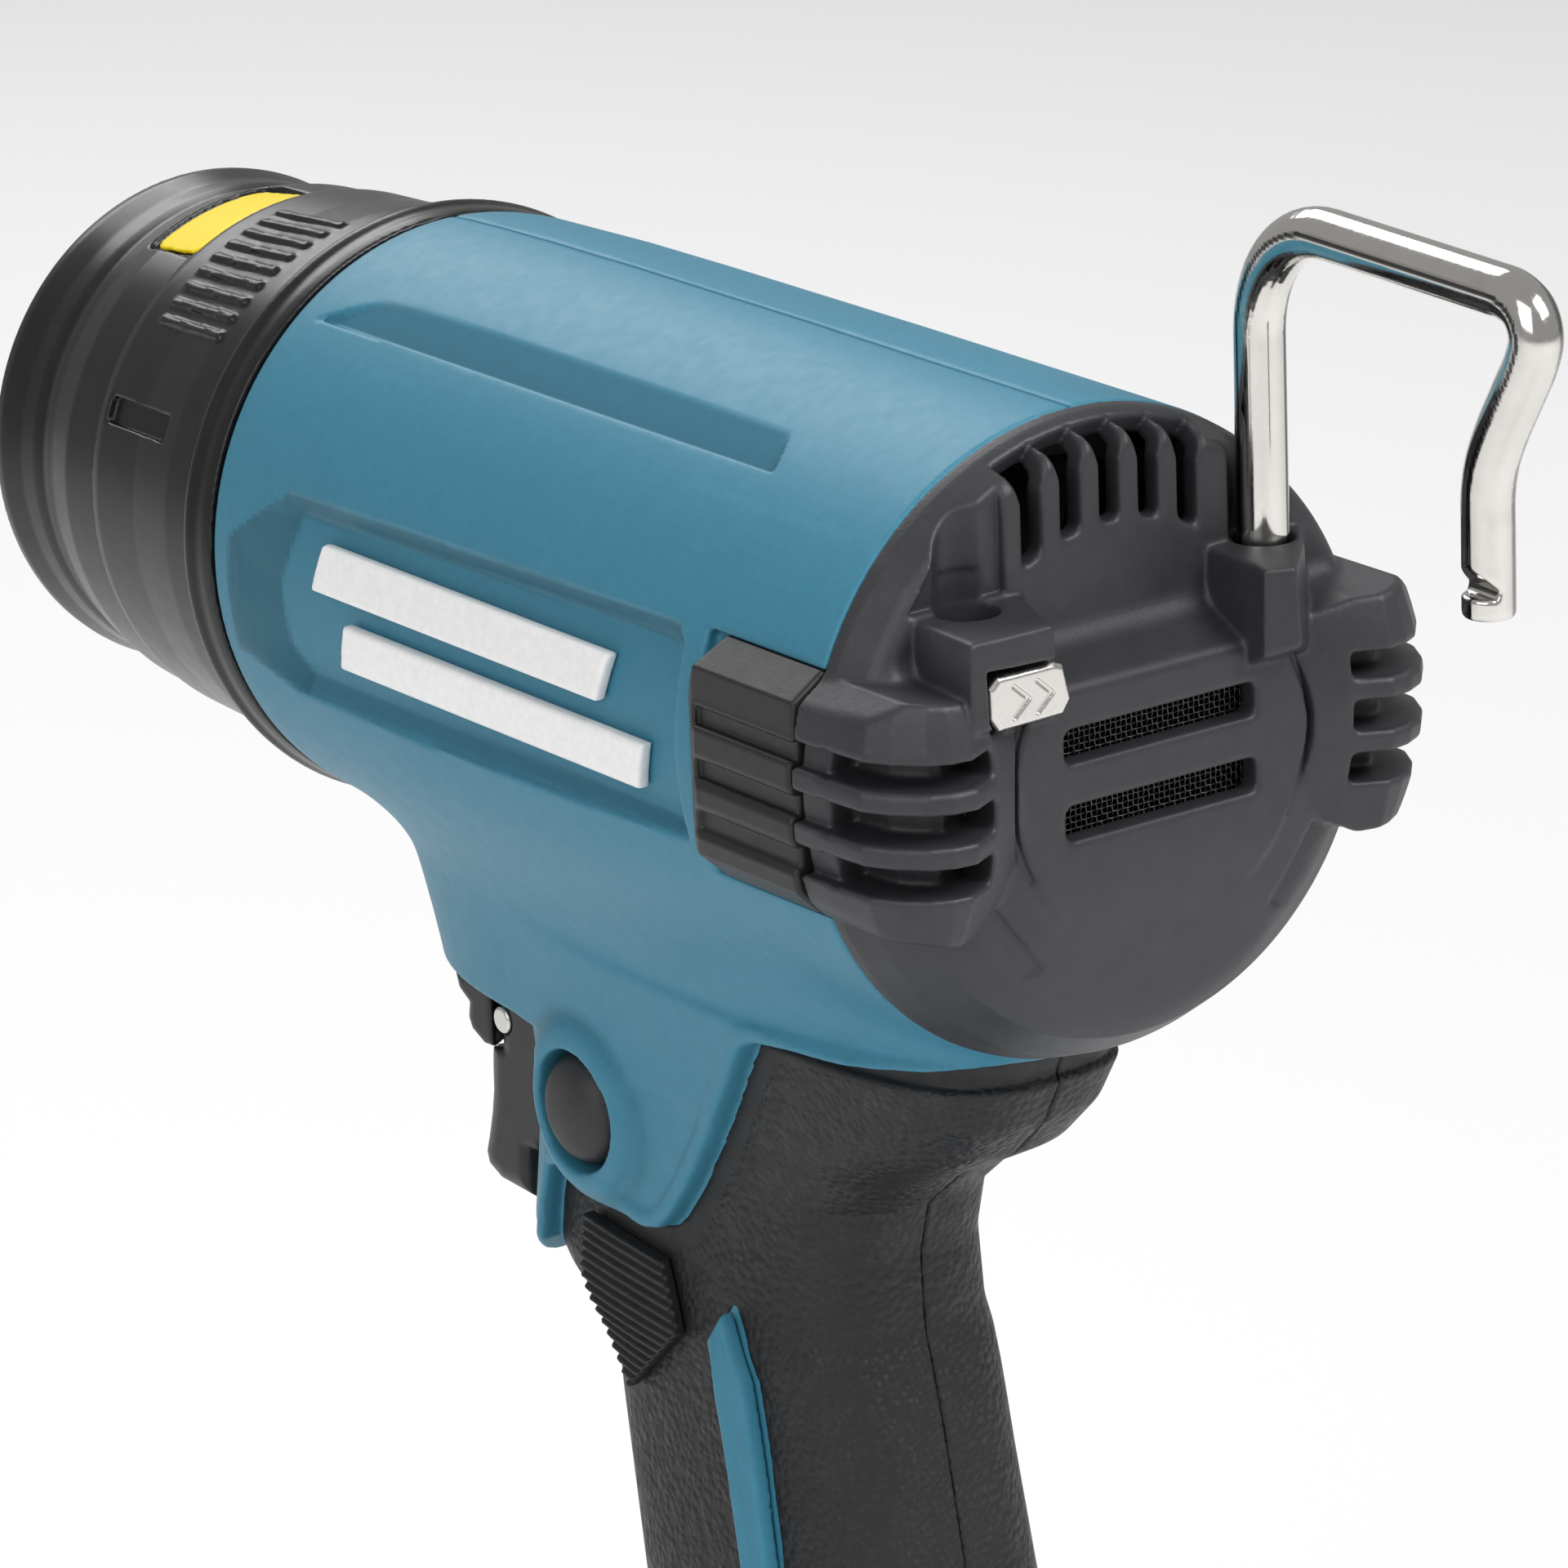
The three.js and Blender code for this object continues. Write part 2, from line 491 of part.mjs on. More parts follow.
function heater() {
  addB('nozzle_tube', turnedY([
    [NOZZLE_R, -150.5], [NOZZLE_R + 0.9, -150.5], [NOZZLE_R + 0.9, -60], [NOZZLE_R, -60]], 32), ...INNER);
  addB('insulating_tube', turnedY([[20.4, -112], [21.2, -112], [21.2, -58], [20.4, -58]], 24), ...MICA);
  const former = box(-14.2, 14.2, -126, -64, -0.5, 0.5).add(box(-0.5, 0.5, -126, -64, -14.2, 14.2));
  addB('heater_former', former, ...MICA);
  addB('heater_coil', coil(0, -122, 0, 'y', 54, 15.9, 0.6, 5, 10), 0xa08060, 0.4, 1);
  addB('thermal_cutout', box(3, 10, -70, -60.5, 3.4, 7), ...INNER);
}

function fanUnit() {
  let duct = turnedY([[25.2, -7], [27.4, -7], [27.4, -46], [20.6, -57], [19, -57], [19, -55.8], [25.2, -45]], 28);
  for (let i = 0; i < 4; i++) {
    const g = new THREE.BoxGeometry(12.6, 6, 1.6);
    g.translate(20.4, -38, 0).rotateY(Math.PI / 4 + (i * Math.PI) / 2);
    duct = duct.add(solid(g));
  }
  duct = duct.add(turnedY([[13.6, -42], [15.6, -42], [15.6, -34], [13.6, -34]], 24));
  addB('fan_duct', duct, ...BLACK);
  addB('motor_can', turnedY([[1.9, -44], [13, -44], [13, -20], [1.9, -20]], 20), ...INNER);
  addB('motor_shaft', rodY(1.5, -48, -6, 0, 0, 8), ...STEEL);
  let fan = turnedY([[1.53, -8], [8, -8], [9, -10], [9, -18.5], [7.6, -18.5], [7.6, -12], [1.53, -12]], 16);
  for (let i = 0; i < 7; i++) {
    const g = new THREE.BoxGeometry(15.6, 8.6, 1);
    g.rotateX(THREE.MathUtils.degToRad(34)).translate(16.4, -13.5, 0).rotateY((i * 2 * Math.PI) / 7);
    fan = fan.add(solid(g));
  }
  addB('fan_impeller', fan, ...BLACK);
}

// ---- handle parts ----

const PIN_Y = -87.2;
const PIN_Z = -50.4;

function trigger() {
  const outline = [
    [-92.7, -55.2], [-92.9, -60.2], [-93.4, -63], [-94.2, -65.8], [-94.8, -67.6], [-94.5, -68.7], [-92.2, -69.8],
    [-84.5, -70.2], [-84.5, -64], [-77, -63], [-77, -48.5], [-83, -46.8], [-90.6, -46.8], [-90.6, -54.6],
  ];
  let body = slabX(outline, -9, 9);
  // fork for the lever
  body = body.subtract(slabX([[-95, -40], [-83.2, -40], [-83.2, -53], [-86, -54.7], [-95, -54.7]], -4.8, 4.8));
  addB('trigger', body.subtract(rodX(1.6, -20, 20, PIN_Y, PIN_Z, 14)), ...BLACK);
  // lock-off lever: hub between the trigger's cheeks and a wide nose ahead of them
  const hub = slabX([[-92, -47.6], [-86, -47], [-83.8, -50.4], [-86, -53.2], [-92, -54]], -4.4, 4.4);
  const nose = slabX([[-97.6, -47.2], [-91.2, -47], [-91.2, -54.2], [-93, -54.3], [-95.8, -53], [-96.4, -50.6]], -9, 9);
  addB('trigger_lever', hub.add(nose).subtract(rodX(1.6, -20, 20, PIN_Y, PIN_Z, 14)), ...BLACK);
  addB('lever_pin', rodX(1.5, -9.2, 9.2, PIN_Y, PIN_Z, 14), ...STEEL);
  addB('trigger_spring', coil(0, -76.6, -56, 'y', 8.4, 2.6, 0.4, 4, 8), ...STEEL);
  addB('switch_body', box(-5.4, 5.4, -67.9, -44, -64, -47), ...BLACK);
  const button = rodX(5.8, 8.6, 17.2, BUTTON_Y, BUTTON_Z, 20).add(rodX(6.8, 8, 9, BUTTON_Y, BUTTON_Z, 20));
  addB('lock_on_button', button, ...RUBBER);
}

const BASE = BATTERY_H - AXIS_Z;   // battery's top plane, from the barrel axis

function footParts() {
  const dial = rodZ(8.6, -155, -145.4, 0, DIAL_Y, 20).add(rodZ(2.4, -158.4, -154.5, 0, DIAL_Y, 8));
  addB('temperature_dial', dial.subtract(box(-0.5, 0.5, -92, -84, -146.2, -145)), ...BLACK);
  const board = box(-19, 19, -84, -14, -161, -159.4).add(box(-8, 8, -60, -42, -159.5, -155)).add(box(-15, -9, -38, -24, -159.5, -154));
  addB('control_board', board, ...BOARD);
  let block = box(-16.5, 16.5, -44, -9, BASE + 2.6, BASE + 4.9);
  for (const x of [-11, 0, 11]) block = block.add(box(x - 0.4, x + 0.4, -40, -14, BASE + 0.6, BASE + 2.7));
  addB('terminal_block', block, ...BLACK);
}

// ---- battery, drawn in the object's own frame ----

function battery() {
  const half = BATTERY_W / 2;
  const len = BATTERY_L / 2;
  const shell = rows => loft(rows.map(([z, inset]) => section([z, -len, len, half], inset, 7, 28)));
  const inside = box(-34, 34, -50.5, 50.5, 2.5, 46);
  const lower = shell([[0, 3], [2, 1], [5, 0.4], [29.8, 0]]).subtract(inside);
  add('battery_lower_case', lower, ...BLACK);
  let top = shell([[30.1, 0], [54, 0.3], [60, 1.6], [BATTERY_H, 4]]);
  top = top.add(box(-25.8, 25.8, -56, 41, 55, BATTERY_H + 4)).subtract(inside);
  // slot of the contact block, open at the back
  top = top.subtract(box(-17.5, 17.5, 3, 42, BATTERY_H + 0.2, BATTERY_H + 6));
  // pocket of the latch button, in the front
  top = top.subtract(box(-15, 15, -60, -51.5, 38, 57)).subtract(box(-9, 9, -57, -51.5, 50, 70));
  add('battery_upper_case', top, ...DARK);
  const latch = box(-14.5, 14.5, -58.6, -53, 43, 56.4).add(box(-8.5, 8.5, -56.4, -52, 48, BATTERY_H + 4.2));
  add('battery_latch', latch, ...BLACK);
  for (let i = 0; i < 10; i++) {
    const y = 18.8 * (i % 5) - 37.6;
    const z = i < 5 ? 12.6 : 31.4;
    add(`battery_cell_${i + 1}`, rodX(CELL_R, -CELL_L / 2, CELL_L / 2, y, z, 12), 0x2f7fb5, 0.4);
  }
  add('battery_board', box(-28, 28, -40, 40, 41.4, 43), ...BOARD);
}

housingHalves();
rearCover();
hook();
releaseButton();
frontEnd();
heater();
fanUnit();
trigger();
footParts();
battery();

export default group;
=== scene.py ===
"""Looks of the cordless heat gun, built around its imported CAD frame. Lengths are millimetres from the
barrel's axis and the rear seam plane (x to the tool's left, y to the rear, z up) and become metres in
to_object(). The battery's pieces are in the object's own frame, in millimetres from the floor."""
import math

import bpy
import numpy as np
import openvdb as vdb
from mathutils import Matrix, Vector


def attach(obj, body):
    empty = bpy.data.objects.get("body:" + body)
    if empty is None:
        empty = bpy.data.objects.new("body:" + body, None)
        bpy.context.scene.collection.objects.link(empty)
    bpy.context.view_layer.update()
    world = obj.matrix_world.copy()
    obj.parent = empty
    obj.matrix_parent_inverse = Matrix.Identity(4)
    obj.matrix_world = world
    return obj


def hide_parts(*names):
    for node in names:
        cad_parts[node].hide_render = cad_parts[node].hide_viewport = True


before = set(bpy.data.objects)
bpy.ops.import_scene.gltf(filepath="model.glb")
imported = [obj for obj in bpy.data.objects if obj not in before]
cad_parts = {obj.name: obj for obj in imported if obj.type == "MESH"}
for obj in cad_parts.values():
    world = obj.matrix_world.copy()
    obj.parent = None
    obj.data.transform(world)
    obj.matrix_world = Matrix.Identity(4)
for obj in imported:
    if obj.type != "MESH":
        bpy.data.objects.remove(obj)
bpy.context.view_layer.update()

SEAM_Y = 50.0    # the rear seam plane in the object's frame
AXIS_Z = 230.8   # height of the barrel's axis above the floor
F = np.float32
SIDES = (("left", False), ("right", True))


# ---------------- distance fields
class Grid:
    """Sample points of a box, kept as three thin arrays that broadcast."""

    def __init__(self, lo, hi, h):
        self.lo, self.h = np.array(lo, float), h
        n = [int(math.ceil((b - a) / h)) + 1 for a, b in zip(lo, hi)]
        ax = [np.arange(k, dtype=F) * F(h) + F(a) for k, a in zip(n, lo)]
        self.X, self.Y, self.Z = ax[0][:, None, None], ax[1][None, :, None], ax[2][None, None, :]
        self.shape = tuple(n)


def both(a, b, k=0.0):
    """Intersection, with the meeting edge rounded over k."""
    if k <= 0:
        return np.maximum(a, b)
    h = np.maximum(k - np.abs(a - b), 0) / F(k)
    return np.maximum(a, b) + h * h * F(k / 4)


def join(a, b, k=0.0):
    return -both(-a, -b, k)


def cut(a, b, k=0.0):
    return both(a, -b, k)


def outline(u, v, pts):
    """Distance to a closed outline in the u-v plane, negative inside."""
    p = np.array(pts, float)
    d2, inside = None, False
    for (ax, ay), (bx, by) in zip(p, np.roll(p, -1, axis=0)):
        ex, ey = bx - ax, by - ay
        wu, wv = u - F(ax), v - F(ay)
        t = np.clip((wu * F(ex) + wv * F(ey)) / F(ex * ex + ey * ey), 0, 1)
        q = (wu - t * F(ex)) ** 2 + (wv - t * F(ey)) ** 2
        d2 = q if d2 is None else np.minimum(d2, q)
        if ay != by:
            inside = inside ^ (((v < ay) != (v < by)) & (wu < wv * F(ex / ey)))
    return np.where(inside, -np.sqrt(d2), np.sqrt(d2))


def away(u, v, cu=0.0, cv=0.0):
    """Distance in the u-v plane from the point (cu, cv)."""
    return np.sqrt((u - F(cu)) ** 2 + (v - F(cv)) ** 2)


def bearing(g):
    """Angle about the barrel's axis on the left side, in degrees, 0 at the side and 90 on top."""
    return np.degrees(np.arctan2(g.Z, np.maximum(g.X, 1e-3)))


def turned_from(a, centre):
    """Angle a measured from centre, between -180 and 180 degrees."""
    return (a - F(centre) + 180) % 360 - 180


def along(u, v, path):
    """Distance in the u-v plane to an open line."""
    best = None
    for (ax, ay), (bx, by) in zip(path, path[1:]):
        ex, ey = bx - ax, by - ay
        wu, wv = u - F(ax), v - F(ay)
        t = np.clip((wu * F(ex) + wv * F(ey)) / F(max(ex * ex + ey * ey, 1e-9)), 0, 1)
        q = (wu - t * F(ex)) ** 2 + (wv - t * F(ey)) ** 2
        best = q if best is None else np.minimum(best, q)
    return np.sqrt(best)


def smooth_table(knots, z, blur=0.0):
    """Rows [z, a, b, ...] read at z, with the corners blurred over a few millimetres."""
    k = np.array(sorted(knots), float)
    fine = np.arange(k[0, 0] - 20, k[-1, 0] + 20, 0.25)
    out = []
    for c in range(1, k.shape[1]):
        f = np.interp(fine, k[:, 0], k[:, c])
        if blur:
            w = np.hanning(max(3, int(blur / 0.25) | 1))
            f = np.convolve(np.pad(f, len(w) // 2, mode="edge"), w / w.sum(), "valid")
        out.append(np.interp(z, fine, f).astype(F))
    return out


def turned(g, profile):
    """Outline [radius, y] turned about the barrel's axis."""
    r = away(g.X, g.Z)[:, 0, :]
    step = 0.1
    rs = np.arange(0, float(r.max()) + 2 * step, step)
    t = outline(rs[:, None], g.Y[0, :, 0][None, :].astype(float), profile).astype(F)
    i = np.minimum((r / step).astype(int), len(rs) - 2)
    f = (r / F(step) - i)[..., None]
    return np.ascontiguousarray(np.swapaxes(t[i] * (1 - f) + t[i + 1] * f, 1, 2))


def lofted(g, rows, power=2.7, grow=0.0, blur=5.0):
    """Rounded sections [z, front, back, half width] joined along Z."""
    z = g.Z[0, 0, :]
    front, back, half = smooth_table(rows, z, blur)
    c, ry, rx = (front + back) / 2, (back - front) / 2 + F(grow), half + F(grow)
    u, v = np.abs(g.X) / rx, np.abs(g.Y - c) / ry
    q = (u ** F(power) + v ** F(power) + F(1e-6)) ** F(1 / power)
    gx = (u / q) ** F(power - 1) / rx
    gy = (v / q) ** F(power - 1) / ry
    d = (q - 1) / np.sqrt(gx * gx + gy * gy + F(1e-6))
    zs = sorted(r[0] for r in rows)
    return both(d, np.maximum(F(zs[0] - grow) - g.Z, g.Z - F(zs[-1] + grow)), 0.6)


def slab(d, a, lo, hi, k=0.0):
    """Field d kept between lo and hi of coordinate a."""
    return both(d, np.maximum(F(lo) - a, a - F(hi)), k)


def block(g, x0, x1, y0, y1, z0, z1, r=0.0):
    q = [np.abs(a - F((lo + hi) / 2)) - F((hi - lo) / 2 - r)
         for a, lo, hi in ((g.X, x0, x1), (g.Y, y0, y1), (g.Z, z0, z1))]
    outside = sum(np.maximum(a, 0) ** 2 for a in q)
    return np.sqrt(outside) + np.minimum(np.maximum(np.maximum(q[0], q[1]), q[2]), 0) - F(r)


def rod(g, axis, r, c0, c1, a0=None, a1=None, k=0.3):
    """Round rod along 'x', 'y' or 'z' through (c0, c1) of the other two axes in order."""
    p, q, a = {"x": (g.Y, g.Z, g.X), "y": (g.X, g.Z, g.Y), "z": (g.X, g.Y, g.Z)}[axis]
    d = away(p, q, c0, c1) - F(r)
    return d if a0 is None else slab(d, a, a0, a1, k)


# ---------------- meshes
def loose_parts(nv, faces):
    """Label of the connected part that each vertex belongs to."""
    label = np.arange(nv)
    while True:
        low = label[faces].min(axis=1)
        new = label.copy()
        np.minimum.at(new, faces.ravel(), np.repeat(low, faces.shape[1]))
        new = new[new]
        if (new == label).all():
            return label
        label = new


def new_mesh(name, verts, faces):
    me = bpy.data.meshes.new(name)
    nf, k = faces.shape
    me.vertices.add(len(verts))
    me.vertices.foreach_set("co", np.asarray(verts, np.float32).ravel())
    me.loops.add(nf * k)
    me.loops.foreach_set("vertex_index", faces.astype(np.int32).ravel())
    me.polygons.add(nf)
    me.polygons.foreach_set("loop_start", np.arange(0, nf * k, k, dtype=np.int32))
    me.update(calc_edges=True)
    me.validate()
    me.shade_smooth()
    ob = bpy.data.objects.new(name, me)
    bpy.context.scene.collection.objects.link(ob)
    return ob


SMOOTHING = (0.5, -0.52) * 2   # each shrinking step is undone by a swelling one
CRUMB = 0.02                   # parts with a smaller share of the faces are dropped


def relax(v, quads):
    """Evens out the voxel steps without shrinking the shape."""
    i = np.concatenate([quads[:, k] for k in range(4)] * 2)
    j = np.concatenate([quads[:, (k + 1) % 4] for k in range(4)] + [quads[:, k - 1] for k in range(4)])
    n = np.bincount(i, minlength=len(v))[:, None]
    for factor in SMOOTHING:
        mean = np.stack([np.bincount(i, v[j, c], len(v)) for c in range(3)], 1) / n
        v = v + factor * (mean - v)
    return v


def to_object(v, own_frame=False):
    return (v + (np.zeros(3) if own_frame else np.array([0, SEAM_Y, AXIS_Z]))) / 1000


def skin(name, g, d, mirror=False, marks=None, turn=None, own_frame=False):
    """Mesh of the surface where d is zero. marks are extra fields kept as vertex attributes."""
    d = np.ascontiguousarray(np.broadcast_to(d, g.shape), dtype=F)
    band = F(2.5 * g.h)
    grid = vdb.FloatGrid(float(band))
    grid.copyFromArray(np.clip(d, -band, band))
    pts, quads = grid.convertToQuads(0.0)
    quads = quads.astype(np.int64)
    label = loose_parts(len(pts), quads)
    count = np.bincount(label[quads[:, 0]], minlength=len(pts))
    quads = quads[count[label[quads[:, 0]]] >= CRUMB * len(quads)]
    used, inverse = np.unique(quads, return_inverse=True)
    pts, quads = pts[used], inverse.reshape(-1, 4)
    v = pts * g.h + g.lo
    a, b, c = (v[quads[:, i]] for i in range(3))
    if np.einsum("ij,ij->i", a, np.cross(b, c)).sum() + np.einsum(
            "ij,ij->i", a, np.cross(c, v[quads[:, 3]])).sum() < 0:
        quads = quads[:, ::-1]
    v = relax(v, quads)
    if mirror:
        v = v * [-1, 1, 1]
        quads = quads[:, ::-1]
    if turn is not None:
        v = turn(v)
    ob = new_mesh(name, to_object(v, own_frame), quads)
    i0 = np.clip(np.round(pts).astype(int), 0, np.array(g.shape) - 1)
    for key, field in (marks or {}).items():
        f = np.broadcast_to(field, g.shape)[i0[:, 0], i0[:, 1], i0[:, 2]]
        ob.data.attributes.new(key, "FLOAT", "POINT").data.foreach_set("value", f.astype(np.float32))
    return ob


def put(ob, body, slot, material, *nodes):
    ob.data.materials.clear()
    ob.data.materials.append(material)
    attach(ob, body)
    if nodes:
        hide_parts(*nodes)


# ---------------- materials
class Look:
    """A material being made of shader nodes."""

    def __init__(self, name, color, rough, metal=0.0, **sockets):
        self.m = bpy.data.materials.new(name)
        self.m.use_nodes = True
        self.t = self.m.node_tree
        self.bsdf = self.t.nodes["Principled BSDF"]
        self.base = color
        self.set("Base Color", (*color, 1))
        self.set("Roughness", rough)
        self.set("Metallic", metal)
        for k, v in sockets.items():
            self.set(k.replace("_", " "), v)
        self.at = self.t.nodes.new("ShaderNodeTexCoord").outputs["Object"]
        self.normal = None

    def set(self, key, value):
        self.bsdf.inputs[key].default_value = value

    def node(self, kind, **inputs):
        n = self.t.nodes.new("ShaderNode" + kind)
        for k, v in inputs.items():
            key = k.replace("_", " ")
            if hasattr(v, "is_output"):
                self.t.links.new(v, n.inputs[key])
            else:
                n.inputs[key].default_value = v
        return n

    def stretched(self, sx, sy, sz):
        m = self.node("Mapping", Vector=self.at)
        m.inputs["Scale"].default_value = (sx, sy, sz)
        return m.outputs["Vector"]

    def noise(self, size, detail=3.0, rough=0.5, at=None):
        """Noise whose features are about size millimetres."""
        return self.node("TexNoise", Vector=at or self.at, Scale=1000.0 / size, Detail=detail,
                         Roughness=rough).outputs["Fac"]

    def cells(self, size):
        """Distance to the nearest of points that are about size millimetres apart."""
        return self.node("TexVoronoi", Vector=self.at, Scale=1000.0 / size).outputs["Distance"]

    def product(self, a, b):
        n = self.node("Math", Value=a)
        n.operation = "MULTIPLY"
        self.t.links.new(b, n.inputs[1])
        return n.outputs[0]

    def spread(self, value, lo, hi, a=0.3, b=0.7):
        """value from a..b mapped to lo..hi."""
        n = self.t.nodes.new("ShaderNodeMapRange")
        for k, v in (("From Min", a), ("From Max", b), ("To Min", lo), ("To Max", hi)):
            n.inputs[k].default_value = v
        self.t.links.new(value, n.inputs["Value"])
        return n.outputs["Result"]

    def mix(self, fac, a, b):
        n = self.t.nodes.new("ShaderNodeMix")
        n.data_type = "RGBA"
        for key, v in ((0, fac), (6, a), (7, b)):
            if hasattr(v, "is_output"):
                self.t.links.new(v, n.inputs[key])
            else:
                n.inputs[key].default_value = v if key == 0 else (*v, 1)
        return n.outputs[2]

    def tint(self, fac, other):
        """Base colour moves towards other where fac is high."""
        now = self.bsdf.inputs["Base Color"]
        a = now.links[0].from_socket if now.links else self.base
        self.t.links.new(self.mix(fac, a, other), now)
        return self

    def roughness(self, value):
        self.t.links.new(value, self.bsdf.inputs["Roughness"])
        return self

    def bump(self, height, depth):
        """height 0..1 raises the surface by depth millimetres."""
        n = self.t.nodes.new("ShaderNodeBump")
        n.inputs["Strength"].default_value = 1.0
        n.inputs["Distance"].default_value = depth / 1000
        self.t.links.new(height, n.inputs["Height"])
        if self.normal:
            self.t.links.new(self.normal, n.inputs["Normal"])
        self.normal = n.outputs["Normal"]
        self.t.links.new(self.normal, self.bsdf.inputs["Normal"])
        return self

    def mark(self, key):
        n = self.t.nodes.new("ShaderNodeAttribute")
        n.attribute_name = key
        return n.outputs["Fac"]

    def pointed(self):
        return self.t.nodes.new("ShaderNodeNewGeometry").outputs["Pointiness"]


def plastic(name, color, rough=0.45, grain=0.35, depth=0.02, scuff=0.12, edge=0.25, painted_shade=0.0, **sockets):
    """Moulded plastic: fine spark-eroded grain, faint cloudiness, slightly polished edges, and optional
    painted shade that darkens the colour where the mesh is marked.
    """
    k = Look(name, color, rough, **sockets)
    cloud = k.noise(3, 4)
    k.tint(k.spread(cloud, 0, scuff), tuple(min(1, c * 1.6 + 0.02) for c in color))
    k.tint(k.spread(k.noise(0.9, 2), 0, 0.25), tuple(c * 0.72 for c in color))
    k.tint(k.spread(k.pointed(), 0, edge, 0.52, 0.62), tuple(min(1, c * 1.8 + 0.03) for c in color))
    # painted shade: where the mesh's mark says the surface lies in shade, the colour is darkened towards
    # this share of itself
    if painted_shade:
        k.tint(k.spread(k.mark("painted_shade"), 0, 1, 0, 1), tuple(c * painted_shade for c in color))
    k.roughness(k.spread(k.noise(2.0, 5), rough - 0.025, rough + 0.03))
    k.bump(k.noise(grain, 3, 0.6), depth)
    return k.m


def metal(name, color, rough, streak=(1, 1, 1), depth=0.004, dirt=0.2, size=0.5):
    """Plated or drawn metal with fine streaks and faint handling marks."""
    k = Look(name, color, rough, 1.0)
    lines = k.noise(size, 3, at=k.stretched(*streak))
    k.tint(k.spread(k.noise(6, 5), 0, dirt), tuple(c * 0.55 for c in color))
    k.roughness(k.spread(lines, rough * 0.7, rough * 1.5))
    k.bump(lines, depth)
    return k.m


# ---------------- rear cover
BORE = (17.53, 6.4)
SEAM_OUT = [(9, 9.4), (15, 9.4), (22.6, 11.4), (29.1, 11.9), (32.6, 9.5), (33.2, 6.3), (33.6, 1.7),
            (33.6, -1.3),
            (33.4, -3.6), (33.0, -8.6), (30.2, -11.2), (23.2, -12.3), (19, -9.8), (14.6, -9), (9, -9)]
PLAN_OUT = [(6, -4), (34, -4), (33.65, 3.9), (33.1, 10), (31.6, 12.8), (29.2, 15.4), (27, 16.5),
            (24.5, 16.8),
            (16.2, 12.5), (6, 12.3)]
EAR_SLOTS = [(3.9, 6.3), (-1.3, 1.7), (-6.6, -3.6)]
BOSS_LEFT = [(22.7, -2), (23.8, 15.2), (14.5, 15.4), (10.5, 5.2), (11.6, 4.1), (17.3, -2)]
BOSS_RIGHT = [(-11.2, 5.7), (-15, 5.1), (-27.7, -2.3), (-24, 3.6), (-19.5, 10), (-13.2, 16.5),
              (-10.4, 15.3)]
POCKET = [(22.1, 14.0), (22.1, 9.2), (20.8, 7.5), (13.0, 7.6), (11.8, 9.4), (12.7, 13.3), (14, 13.7)]
COVER_PROFILE = [(-5, 12.6), (16.9, 12.6), (17.8, 11.9), (23.4, 11.3), (27.6, 8.6), (30.3, 4.6),
                 (31.5, 1.4),
                 (31.65, 0.08), (-5, 0.08)]
SEAM_GAP = 0.08     # between the rear cover and the housing
BOSS_TOP = 17
BORE_RADIUS = 3.0


